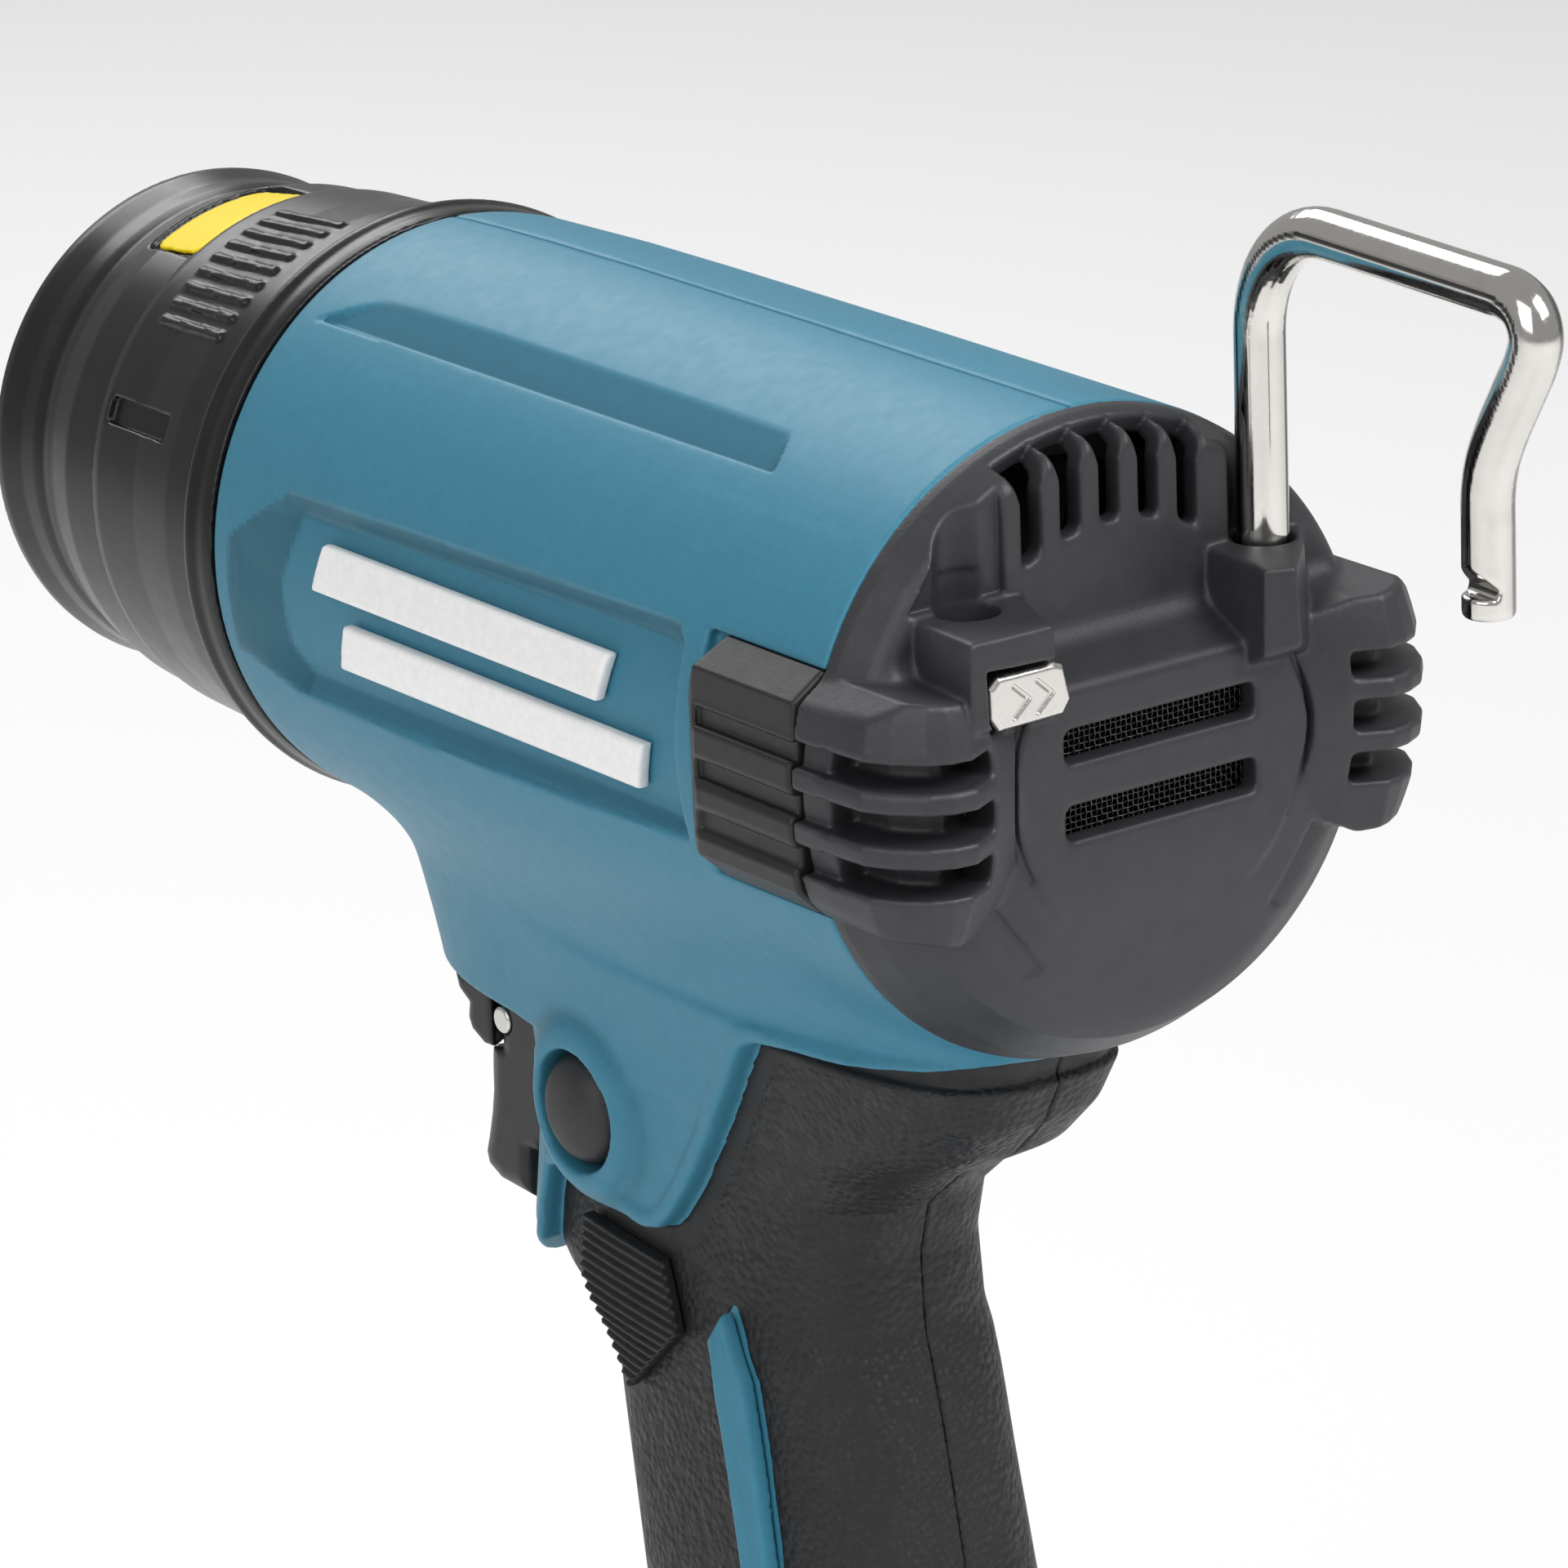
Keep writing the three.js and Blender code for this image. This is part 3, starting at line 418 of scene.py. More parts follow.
def rear_cover():
    g = Grid((-34.6, -0.8, -32.4), (34.6, 17.8, 32.4), 0.24)
    ax = np.abs(g.X)
    d = turned(g, COVER_PROFILE)
    # sunk field above the ledge
    over = (g.Y - F(5.8)) * F(0.357) + (g.Z - 12) * F(0.934)
    d = cut(d, both(F(5.8) - g.Y, -over, 2.2), 0.9)
    # the flat chamfer under the disc
    d = both(d, (g.Y - F(12.6)) * F(0.983) - (g.Z + 10) * F(0.185), 0.5)
    # ears: a prism seen from behind, another seen from above
    plan = outline(ax, g.Y, PLAN_OUT) + F(1.7) * ((g.Z - 1) / 10) ** 2
    ear = both(outline(ax, g.Z, SEAM_OUT), plan, 0.6)
    ear = both(ear, F(SEAM_GAP) - g.Y)
    d = join(d, ear, 0.5)
    # bosses of the hook, their sides drawn in downwards
    for pts in (BOSS_LEFT, BOSS_RIGHT):
        wall = outline(g.X, g.Y, pts) + (F(BOSS_TOP) - g.Z) * F(-0.05)
        b = both(wall, g.Z - BOSS_TOP, 0.6)
        b = both(b, F(6.8) - g.Z + (g.Y - 12) * F(0.5), 0.6)
        d = join(d, both(b, F(SEAM_GAP) - g.Y), 0.5)
    # finger slots between the ribs, shallow beside the seam
    for z0, z1 in EAR_SLOTS:
        dz = np.abs(g.Z - F((z0 + z1) / 2)) - F((z1 - z0) / 2)
        deep = both(both(dz, 4.2 - g.Y), both(21.4 - ax, -(plan + F(4.4))), 0.8)
        lip = both(both(dz, np.abs(g.Y - F(2.2)) - F(2.6)), both(28 - ax, -(plan + F(1.4))))
        d = cut(cut(d, deep, 0.8), lip, 0.5)
    # hollow inside
    inner = turned(g, [(-5, -3), (28.9, -3), (28.9, 1.6), (27.2, 5.6), (22, 9.9), (-5, 9.9)])
    inner = cut(inner, both(F(3.2) - g.Y, 6 - g.Z, 1.0), 0.5)
    field = outline(g.X, g.Z, [(12.6, 17.4), (23.4, 17.4), (15.6, 27.6), (12.6, 28.6)])
    inner = cut(inner, both(12 - ax, 13 - g.Z))
    d = cut(d, inner, 0.4)
    # wall slots that flare open through the rim
    r = away(g.X, g.Z)
    for x in (-9.2, -4.6, 0, 4.6, 9.2):
        flare = np.clip((r - F(27.4)) * F(0.32), 0, 1.2)
        s = both(np.abs(g.X - F(x)) - F(1.1) - flare, F(21.8) - r, 1.0)
        d = cut(d, both(both(s, 1.3 - g.Y + np.clip(r - 28, 0, 4) * F(0.5)), -g.Z), 0.7)
    # face slots
    for z0, z1 in ((2.1, 5.3), (-5.4, -2.1)):
        d = cut(d, block(g, -11.3, 11.3, 8, 14, z0, z1, 0.9), 0.7)
    # hook bores, and the hollows that clear the rod above them
    for s in (1, -1):
        d = cut(d, rod(g, "z", BORE_RADIUS, s * BORE[0], BORE[1], -2, 20), 0.6)
        d = cut(d, rod(g, "z", 2.9 if s > 0 else 3.6, s * BORE[0], BORE[1], 17.0, 40, 0.3), 0.4)
    d = cut(d, both(field, 4.9 - g.Y), 0.5)
    # pocket of the release button
    d = cut(d, both(outline(g.X, g.Z, POCKET), F(9.9) - g.Y, 0.5), 0.4)
    # ring round the disc
    ring = both(np.abs(r - F(17.5)) - F(0.28), 11.9 - g.Y)
    d = cut(d, both(ring, both(g.Z - 7.5, -8.6 - g.Z)), 0.3)
    # small inset panel under the ears
    for s in (1, -1):
        panel = outline(s * g.X, g.Z, [(13.9, -17.3), (22, -20.4), (23.2, -12.6), (18.9, -10.6)])
        d = cut(d, both(panel, F(10.9) - g.Y), 0.8)
    return skin("rear_cover_skin", g, d)


GREY = plastic("grey_cover", (0.023, 0.024, 0.0275), 0.47, 0.42, 0.03, 0.2, 0.12)
put(rear_cover(), "housing", "grey_cover", GREY, "rear_cover")


# ---------------- housing and grip
NECK = [(-8, -100.5, -4, 29), (-16, -101, -4, 26.5), (-23, -102, -3, 22.8), (-28, -102.8, -2.5, 20.2),
        (-32, -103, -1, 18.4), (-36, -102.4, -2.8, 17.2), (-40, -101.4, -6, 16.4),
        (-45, -99.8, -11.5, 15.8)]
HANDLE = [(-34, -84, -0.8, 18), (-41, -83.5, -4.6, 16.8), (-46, -83, -9.8, 16.2), (-50.5, -82, -18.4, 15.8),
          (-55, -81.4, -23.8, 15.5), (-61, -82.2, -25.4, 15.5), (-69, -83, -25, 16),
          (-72, -80, -24.1, 16.3),
          (-75.5, -74, -23.2, 16), (-79, -71.8, -22.4, 15.9), (-84, -71.2, -21.4, 16),
          (-104, -67.4, -17.4, 16.8),
          (-124, -64.4, -13.9, 17), (-138, -63.5, -8.2, 17.4), (-144, -66.5, -3, 20), (-149, -82, 1.5, 25)]
FOOT = [(-143, -66, -6, 19), (-148, -88, 0, 26.5), (-152, -100, 4.5, 31), (-157, -105, 6.8, 33),
        (-168.4, -106, 7.4, 33.4)]
GRIP_EDGE = [(8, -26.5), (0.7, -31.6), (-8, -33.4), (-16.4, -34.2), (-24.5, -34.5), (-29.5, -35.1),
             (-32, -36.3),
             (-33.8, -38.6), (-40.3, -48.1), (-46, -56.1), (-48.8, -59.6), (-50.6, -61.2), (-53.3, -61.9),
             (-60.2, -61), (-69.5, -60.1), (-71.8, -61), (-73, -64.8), (-73.6, -69.5), (-76.5, -72.4),
             (-92, -73),
             (-92, -134.5), (-60, -136.5), (8, -136.5)]
INLAY = [(-43.2, -70.8), (-41.3, -67.5), (-37.9, -74.3), (-34.5, -92), (-31, -112), (-29.8, -127),
         (-32.5, -130),
         (-35, -112), (-38.8, -92), (-41.4, -76.3)]
INLAY_RIB = [(-41.6, -76.5), (-41.9, -70.4), (-40.6, -74.4), (-37, -92), (-33.4, -112), (-32.2, -126),
             (-34, -112), (-38, -92)]
RIBBED = [(-65.2, -63.7), (-51.3, -64.8), (-48.3, -71.9), (-58.6, -81.2), (-62.4, -76), (-65.8, -70)]
LABEL = [(-99.5, 4.2), (-89.6, 10.6), (-22.3, 12), (-20.9, 10.3), (-20.9, -9.2), (-89.9, -10.9),
         (-100.4, -8.3)]
LABEL_FLOOR = [(-91.9, 0.4), (-88.4, 8.3), (-24.2, 9.8), (-22.2, 8.2), (-22.2, -7.9), (-88.6, -8.6),
               (-91.4, -6.1)]
BUTTON = (-62.1, -51.3)
PIN = (-87.2, -50.4)
TRIGGER_EDGE = [(-112, -44.9), (-94, -45.2), (-88.7, -45.3), (-85.6, -46.3), (-83.2, -48.4), (-81.5, -51.9),
                (-80.7, -56), (-80.9, -59.5), (-82.4, -64), (-83.6, -68), (-84, -71), (-112, -71)]
TRIGGER_POCKET = [(-72, -45), (-72, -64.8), (-79.2, -64.8), (-79.2, -71.2), (-110, -71.2), (-110, -45)]
SCREWS = [(-93, -38), (-24, -41), (-76.2, -68.6), (-48, -86), (-42, -128), (-97.6, -159), (-3, -154.5)]
FOOT_Z = -168.4
FOOT_INSIDE = [(-141, -60, -10, 14.5), (-150, -84, -1, 24), (-153, -92, 2, 27), (-164, -98, 4, 29)]
GRIP_GAP = 0.12
RUBBER_DEPTH = 2.15
SEAT_DEPTH = 2.3
LABEL_RADIUS = 29.9    # floor of the sunk side panels
SIDE_BULGE = 0.55      # height on the side of the barrel per degree, for the long strip
POST_RADIUS = 3.2
WELL_RADIUS = 3.4      # of the holes for the screw heads, in the housing
GRIP_WELL_RADIUS = 3.9


def housing_fields(g):
    """Solid housing, the handle's skin and the rubber's region."""
    barrel = turned(g, [(-5, 0), (31.7, 0), (31.75, -5.5), (31.9, -40), (31.9, -71), (31.8, -85),
                        (31.4, -99.6),
                        (31.15, -102.2), (30.6, -103.1), (-5, -103.1)])
    neck = lofted(g, NECK, 3.0, blur=6)
    handle = lofted(g, HANDLE, 3.0, blur=2.5)
    foot = lofted(g, FOOT, 4.5, blur=4)
    region = outline(g.Y, g.Z, GRIP_EDGE)
    skin_of = join(handle, both(neck, g.Z + 24), 1.5)
    d = join(barrel, neck, 4.5)
    d = both(d, F(-103.1) - g.Y, 0.6)
    d = join(d, handle, 2.5)
    d = join(d, foot, 4.0)
    d = both(d, F(FOOT_Z) - g.Z, 0.8)
    return d, skin_of, region


def label_cut(g):
    """Sunk side panel with sloping walls, from the outside of the barrel down to its floor."""
    r = away(g.X, g.Z)
    top, low = outline(g.Y, g.Z, LABEL), outline(g.Y, g.Z, LABEL_FLOOR)
    t = np.clip((r - F(LABEL_RADIUS)) / F(1.9), 0, 1)
    wall = low * (1 - t) + top * t
    return both(both(wall, F(LABEL_RADIUS) - r, 0.3), 12 - g.X)


STRIP = [(-98.5, 28.4), (-90, 33.2), (-22.5, 33.2), (-20.3, 28.4)]


def strip_cut(g):
    """Long flat let into the barrel beside the seam on top."""
    s = outline(g.Y, bearing(g) * F(SIDE_BULGE), STRIP)
    floor = F(30.25) - g.X * F(0.742) - g.Z * F(0.67)
    return both(both(s, floor, 0.2), 5 - g.X)


def recess_shade(g, foot):
    """Painted shade: how dark the walls and floors of the sunk side panels and the long strip are painted,
    and the painted shadow round the foot of the button's collar, of strength foot.
    """
    top, low = outline(g.Y, g.Z, LABEL), outline(g.Y, g.Z, LABEL_FLOOR)
    inside = np.clip(-low / F(0.6), 0, 1)
    wall = np.clip(-top / F(0.6), 0, 1) * (1 - inside)
    # painted shade of each wall: the top and front walls darkest, the lower wall lighter
    level = np.where(g.Z > 8 - (g.Y + 90) * F(-0.02), F(0.75), np.where(g.Y < -88, F(0.85), F(0.5)))
    label = wall * level + inside * F(0.12)
    a = bearing(g)
    strip = outline(g.Y, a * F(SIDE_BULGE), STRIP)
    ring = away(g.Y, g.Z, *BUTTON)
    # painted shadow in a ring round the foot of the button's collar
    foot = np.exp(-((ring - F(9.9)) / F(0.9)) ** 2) * F(foot)
    painted_shade = np.where(g.X > 24, label, np.where(g.Z < -40, foot, 0))
    return painted_shade + np.where(a > 45, np.clip(-strip / F(0.5), 0, 1) * F(0.45), 0)


def shell_half():
    """The left housing half without posts, and its solid with the rubber's seat cut."""
    g = Grid((-0.6, -107.5, -169.4), (34.8, 9.2, 33.2), 0.37)
    solid, handle, region = housing_fields(g)
    seat = both(both(region - F(GRIP_GAP), -(handle + F(SEAT_DEPTH))), g.Z + 26)
    # raised bead along the edge of the rubber
    bead = both(np.abs(region - F(1.0)) - F(0.9), both(handle - F(0.45), -(handle + 2)), 0.7)
    d = join(solid, both(bead, g.Z + F(32.6)), 0.6)
    d = cut(d, seat, 0.5)
    d = cut(cut(d, label_cut(g), 0.25), strip_cut(g), 0.15)
    # seat of the side pad
    d = cut(d, both(both(outline(g.X, g.Z, PAD_SEAT), F(-17.9) - g.Y), F(30.4) - away(g.X, g.Z)), 0.4)
    # hollow of barrel, neck, handle and foot
    inside = turned(g, [(-5, 3), (28.8, 3), (28.8, -99.5), (-5, -99.5)])
    core = [(z, f + 2.4, b - 2.4, h - 2.4) for z, f, b, h in NECK[:7]]
    inside = join(inside, lofted(g, core, 3.0, blur=6), 3.0)
    inside = join(inside, lofted(g, HANDLE[1:-1], 3.0, grow=-4.4, blur=2.5), 2.0)
    inside = join(inside, lofted(g, FOOT_INSIDE, 4, blur=3), 1.0)
    d = cut(d, inside, 0.5)
    # front opening and the groove behind it
    d = cut(d, turned(g, [(-5, -110), (23.2, -110), (23.2, -90), (-5, -90)]), 0.5)
    d = cut(d, turned(g, [(27, -3.9), (29.9, -3.9), (29.9, -1.7), (27, -1.7)]))
    # trigger opening between the cheeks
    d = cut(d, both(outline(g.Y, g.Z, TRIGGER_POCKET), g.X - F(10.2), 0.8), 0.5)
    d = cut(d, outline(g.Y, g.Z, TRIGGER_EDGE), 0.9)
    # battery channel and dial opening under and on the foot
    d = cut(d, block(g, -26.5, 26.5, -120, -8, FOOT_Z - 3, FOOT_Z + 5, 0.4), 0.4)
    d = cut(d, rod(g, "z", 9.4, 0, -82, -160, -138), 0.7)
    return g, d, cut(solid, seat)


def button_collar(g, d):
    """Collar round the lock-on button, with its shallow dish and the button's hole."""
    r = away(g.Y, g.Z, *BUTTON)
    dish = np.clip((r - F(6.4)) * F(0.3), 0, 9)
    d = join(d, both(both(r - F(7.8), g.X - F(17.5) + dish, 0.9), 11 - g.X), 4.0)
    return cut(d, slab(r - F(6.45), g.X, 5, 30), 0.6)


def wells(g, d, radius, floor, k):
    """Holes for the screw heads, sunk from the outside down to floor."""
    for y, z in SCREWS:
        d = cut(d, slab(away(g.Y, g.Z, y, z) - F(radius), g.X, floor, 60), k)
    return d


def housing():
    g, left, body = shell_half()
    posts = None
    for y, z in SCREWS:
        reach = 24 if z < -140 else 14
        post = slab(away(g.Y, g.Z, y, z) - F(POST_RADIUS), g.X, -5, reach)
        posts = post if posts is None else join(posts, post)
    left = join(left, both(posts, body + 1.2))
    right = wells(g, left, WELL_RADIUS, 8.2, 0.5)
    # the lock-on button comes out on the left only
    left = button_collar(g, left)
    # painted shade for each half: 0.4 is the painted shadow round the button's collar on the left, none on
    # the right
    for (side, flip), d, foot in zip(SIDES, (left, right), (0.4, 0)):
        ob = skin(f"housing_{side}_skin", g, both(d, F(0.05) - g.X, 0.35), mirror=flip,
                  marks={"painted_shade": recess_shade(g, foot)})
        put(ob, "housing", "teal_shell", TEAL, f"housing_{side}")


def thumb_panels():
    """Closely ribbed panels let into the rubber where the thumb lies."""
    g = Grid((9.8, -70.5, -83.5), (18.4, -46.5, -62), 0.15)
    handle = lofted(g, HANDLE, 3.0, blur=2.5)
    # ribs 1.08 mm apart, falling a little towards the rear
    across = (g.Y * F(0.07) + g.Z) / F(1.08)
    wave = np.abs(across - np.round(across)) * 2
    top = handle + F(0.85) - np.clip(wave * 1.7 - 0.35, 0, 1) * F(0.55)
    d = both(both(outline(g.Y, g.Z, RIBBED) + F(0.12), top, 0.3), -(handle + F(1.9)))
    for side, flip in SIDES:
        q = wells(g, d, GRIP_WELL_RADIUS, 3, 0.4) if flip else d
        put(skin(f"thumb_panel_{side}", g, q, mirror=flip), "housing", "rubber_grip", PANEL_RUBBER)


def grips():
    g = Grid((-0.4, -84.5, -138.5), (20.4, 9.4, -25), 0.32)
    handle = lofted(g, HANDLE, 3.0, blur=2.5)
    handle = join(handle, both(lofted(g, NECK, 3.0, blur=6), g.Z + 24), 1.5)
    region = outline(g.Y, g.Z, GRIP_EDGE)
    d = both(handle - F(0.1), region + F(0.02), 0.6)
    # seat of the ribbed thumb panel
    panel = outline(g.Y, g.Z, RIBBED)
    d = cut(d, both(both(panel, -(handle + F(1.2))), 5 - g.X), 0.4)
    # creases that cross below the panel
    for line in ([(-42.9, -65.7), (-58.5, -81.4), (-72, -96)], [(-48, -84), (-62, -83.2), (-73, -90)]):
        d = cut(d, both(both(along(g.Y, g.Z, line) - F(0.45), -(handle + F(0.5))), 5 - g.X), 0.6)
    # only the outer layer is rubber
    d = cut(d, -(handle + F(RUBBER_DEPTH)), 0)
    inlay = outline(g.Y, g.Z, INLAY)
    left = cut(d, both(inlay - F(0.2), 5 - g.X), 0.5)
    right = wells(g, left, GRIP_WELL_RADIUS, 3, 0.6)
    marks = {"edge": -region, "panel": panel}
    for (side, flip), rubber_half in zip(SIDES, (left, right)):
        ob = skin(f"grip_{side}_skin", g, both(rubber_half, F(-0.03) - g.X, 0.3), mirror=flip, marks=marks)
        put(ob, "housing", "rubber_grip", RUBBER, f"grip_{side}")
    thumb_panels()
    # coloured inlay with its own raised rib
    rib = outline(g.Y, g.Z, INLAY_RIB)
    p = both(both(handle + F(0.15), inlay + F(0.1), 0.6), -(handle + F(2.1)))
    p = join(p, both(both(handle - F(0.35), rib, 0.6), -(handle + F(2.1))), 0.5)
    p = both(p, 5 - g.X)
    for side, flip in SIDES:
        q = wells(g, p, GRIP_WELL_RADIUS, 3, 0.4) if flip else p
        ob = skin(f"grip_inlay_{side}_skin", g, q, mirror=flip)
        put(ob, "housing", "teal_shell", TEAL, f"grip_inlay_{side}")


# ---------------- side pads
PAD_SEAT = [(27, 12.2), (29.2, 12.2), (32.9, 9.9), (40, 9.9), (40, -8.9), (33.3, -8.9), (30.4, -11.6),
            (27, -11.6)]
PAD_OUT = [(26, 12.1), (29.2, 12.1), (32.75, 9.75), (32.9, 6.6), (33.5, 3.9), (33.6, 1.5), (33.1, 0.9),
           (33.2, -1.2), (33.6, -1.8), (33.5, -3.4), (33, -4.2), (32.9, -6.2), (33.2, -6.9), (32.9, -8.7),
           (30.2, -11.2), (26, -11.2)]


def side_pads():
    g = Grid((27.2, -18.6, -12.4), (34.8, 0.8, 13), 0.18)
    d = both(outline(g.X, g.Z, PAD_OUT), F(30.5) - away(g.X, g.Z), 0.4)
    # front edge stepped with the ribs
    front = F(-17.5) + np.clip((np.abs(g.Z - F(0.4)) - F(6)) * F(0.35), 0, 2.2)
    d = both(d, np.maximum(front - g.Y, g.Y + F(0.25)), 0.5)
    d = both(d, g.X - F(33.6) + np.clip((-15.2 - g.Y) * F(0.55), 0, 2), 0.4)
    for z in (-5.2, -0.1, 5.1):
        d = cut(d, both(both(np.abs(g.Z - F(z)) - F(0.85), F(32.5) - g.X), -15.6 - g.Y), 0.5)
    for side, flip in SIDES:
        ob = skin(f"side_pad_{side}_skin", g, d, mirror=flip)
        put(ob, "housing", "black_plastic", BLACK, f"side_pad_{side}")


# ---------------- front end
COLLAR_PROFILE = [(26.2, -103.35), (31.0, -103.35), (31.2, -104.6), (31.1, -107.2), (30.7, -108.7),
                  (29.8, -109.05), (26.2, -109.05)]
PROTECTOR_PROFILE = [(29.9, -109.3), (29.75, -114), (29.05, -121.4), (28.75, -129), (28.55, -130.1),
                     (28.2, -130.5), (27.98, -136.6), (27.24, -140.2), (26.5, -142.6), (26.2, -143.9),
                     (26.35, -144.4), (26.55, -145.4), (26.57, -147.9), (26.85, -149.6), (27.1, -151.2),
                     (26.95, -152.4), (26.3, -153.3), (25.4, -153.6), (24.4, -153.6), (23.4, -152.8),
                     (23.0, -151), (23, -146), (25, -139), (26, -122), (26.2, -109.3)]
RIB_ANGLE = 4.36       # degrees between the grip ribs
RIB_MIDDLE = 119.7     # how far the middles of the ribs, windows and patch lie ahead of the seam plane
WINDOW_MIDDLE = 122.5
PATCH_MIDDLE = 135


def collar():
    g = Grid((-32, -110, -32), (32, -102.4, 32), 0.3)
    d = turned(g, COLLAR_PROFILE)
    bead = away(away(g.X, g.Z), g.Y, 30.6, -107.2) - F(0.9)
    put(skin("collar_ring_skin", g, join(d, bead, 0.8)), "housing", "front_black", FRONT, "collar_ring")


def protector():
    g = Grid((-30.4, -154.3, -30.4), (30.4, -108.8, 30.4), 0.27)
    d = turned(g, PROTECTOR_PROFILE)
    r = away(g.X, g.Z)
    a = np.degrees(np.arctan2(g.Z, g.X))
    # grip ribs, in two groups
    for centre in (60.2, 180 + 60.2):
        q = turned_from(a, centre)
        n = np.clip(np.round(q / F(RIB_ANGLE)), -4, 4)
        y = g.Y + F(RIB_MIDDLE)
        s = both(np.abs(q - n * F(RIB_ANGLE)) * F(0.505) - F(0.42), np.abs(y) - F(6.4), 0.4)
        d = join(d, both(both(s, r - F(29.72) + y * F(-0.075)), 27 - r, 0.3), 0.35)
    # latch windows
    for centre in (21.5, 180 + 21.5):
        across = np.abs(turned_from(a, centre)) * F(0.49)
        w = both(across - F(1.35), np.abs(g.Y + F(WINDOW_MIDDLE)) - F(6.1), 0.5)
        d = cut(d, both(w, F(27.9) - r), 0.3)
    # seat of the plain patch
    across, y = np.abs(a - F(75.4)) * F(0.485), np.abs(g.Y + F(PATCH_MIDDLE))
    taper = (g.Y + 131) * F(0.14)
    w = both(across - F(8.0), y - F(5.1), 1.5)
    d = cut(d, both(w, F(27.75) - r + taper, 0.2), 0.25)
    put(skin("front_protector_skin", g, d), "protector", "front_black", FRONT, "front_protector")
    # the patch itself, a thin printed film
    w = both(across - F(7.4), y - F(4.5), 1.5)
    film = both(w, np.abs(r - (F(28.05) + taper) + F(0.1)) - F(0.2))
    put(skin("patch_film", g, film), "protector", "warning_yellow", YELLOW, "warning_patch")


# the teal takes painted shade: its colour falls to half where the mesh is marked as lying in shade
TEAL = plastic("teal_shell", (0.044, 0.205, 0.3), 0.46, 0.45, 0.012, 0.06, 0.05, 0.5,
               Specular_IOR_Level=0.3)
BLACK = plastic("black_plastic", (0.013, 0.0132, 0.0145), 0.42, 0.4, 0.015, 0.2, 0.15,
                Specular_IOR_Level=0.4)
FRONT = plastic("front_black", (0.0065, 0.0065, 0.0072), 0.3, 1.2, 0.004, 0.12, 0.08,
                Specular_IOR_Level=0.4)
YELLOW = plastic("yellow_film", (0.87, 0.66, 0.001), 0.4, 0.6, 0.004, 0.0, 0.0, Specular_IOR_Level=0.2)


def rubber():
    """Pebbled rubber, plain along its edge and under the thumb panel."""
    k = Look("rubber_grip", (0.0095, 0.0095, 0.01), 0.55, Specular_IOR_Level=0.4)
    k.tint(k.spread(k.noise(9, 4), 0, 0.35), (0.02, 0.02, 0.021))
    grain = k.spread(k.mark("edge"), 0, 1, 2.4, 3.0)
    plain = k.spread(k.mark("panel"), 0, 1, -0.1, 0.5)
    pebbles = k.spread(k.cells(0.95), 1, 0, 0.1, 0.75)
    k.bump(k.product(pebbles, k.product(grain, plain)), 0.17)
    k.bump(k.noise(0.3, 2), 0.012)
    k.roughness(k.spread(k.noise(2, 4), 0.45, 0.6))
    return k.m


RUBBER = rubber()
PANEL_RUBBER = plastic("panel_rubber", (0.0105, 0.0105, 0.0112), 0.5, 0.4, 0.02, 0.3, 0.1)
housing()
grips()
side_pads()
collar()
protector()


# ---------------- raised plain bars of the side label
def label_bars():
    g = Grid((28.4, -88, -9), (33.2, -24, 9.5), 0.25)
    lean = 1.6
    upper, lower = (outline(g.Y, g.Z, [(y0, z0), (y1 - lean, z0), (y1, z1), (y0 + lean, z1)])
                    for y0, y1, z0, z1 in ((-84, -33, 1.6, 6.4), (-80, -27, -5.8, -1.0)))
    d = both(join(upper, lower) - F(0.1), np.abs(away(g.X, g.Z) - F(30.7)) - F(0.75), 0.5)
    for side, flip in SIDES:
        put(skin(f"label_bars_{side}", g, d, mirror=flip), "housing", "teal_shell", WHITE)


# ---------------- hanging hook
HOOK_TIP = 17.4
HOOK_RADIUS = 2.5
HOOK_TURN = 86       # degrees from the tool's left towards the rear, in the photo and at rest
BEND_START, BEND_RADIUS = 36.7, 11.5
HOOK_PATH = [(0, 3.2), (0, 20), (0, BEND_START), (36, 48.2), (39.2, 48.05), (41.4, 47.0), (42.3, 45),
             (41.6, 42.6), (39.6, 39.2), (37.2, 35.2), (35.7, 32), (35.1, 29), (35.06, 26), (35.06, 22),
             (35.06, HOOK_TIP)]
# angle round the rod, width in degrees and strength of each band
ROD_BANDS = ((34, 9, 1.0), (-96, 8, 1.0), (-58, 3, 0.55), (-8, 5, 0.35), (150, 14, 0.7), (88, 6, 0.6))


def spline(points, n=8):
    """Centripetal curve through points."""
    p = np.array(points, float)
    p = np.vstack([2 * p[0] - p[1], p, 2 * p[-1] - p[-2]])
    out = []
    for a, b, c, d in zip(p, p[1:], p[2:], p[3:]):
        t = [0.0]
        for u, v in ((a, b), (b, c), (c, d)):
            t.append(t[-1] + max(np.linalg.norm(v - u) ** 0.5, 1e-6))
        for s in np.linspace(t[1], t[2], n, endpoint=False):
            a1 = (t[1] - s) / (t[1] - t[0]) * a + (s - t[0]) / (t[1] - t[0]) * b
            a2 = (t[2] - s) / (t[2] - t[1]) * b + (s - t[1]) / (t[2] - t[1]) * c
            a3 = (t[3] - s) / (t[3] - t[2]) * c + (s - t[2]) / (t[3] - t[2]) * d
            b1 = (t[2] - s) / (t[2] - t[0]) * a1 + (s - t[0]) / (t[2] - t[0]) * a2
            b2 = (t[3] - s) / (t[3] - t[1]) * a2 + (s - t[1]) / (t[3] - t[1]) * a3
            out.append((t[2] - s) / (t[2] - t[1]) * b1 + (s - t[1]) / (t[2] - t[1]) * b2)
    return np.array(out + [p[-2]])


def rod_bands(g, path, off):
    """Dark bands along the rod, standing in for what bright plating would mirror in a studio."""
    loop = outline(g.X, g.Z, np.vstack([path, [(35, -20), (0, -20)]]))
    a = np.degrees(np.arctan2(g.Y, np.where(loop < 0, off, -off)))
    out = 0
    for centre, width, strength in ROD_BANDS:
        out = np.maximum(out, F(strength) * np.exp(-(turned_from(a, centre) / F(width)) ** 2))
    return out


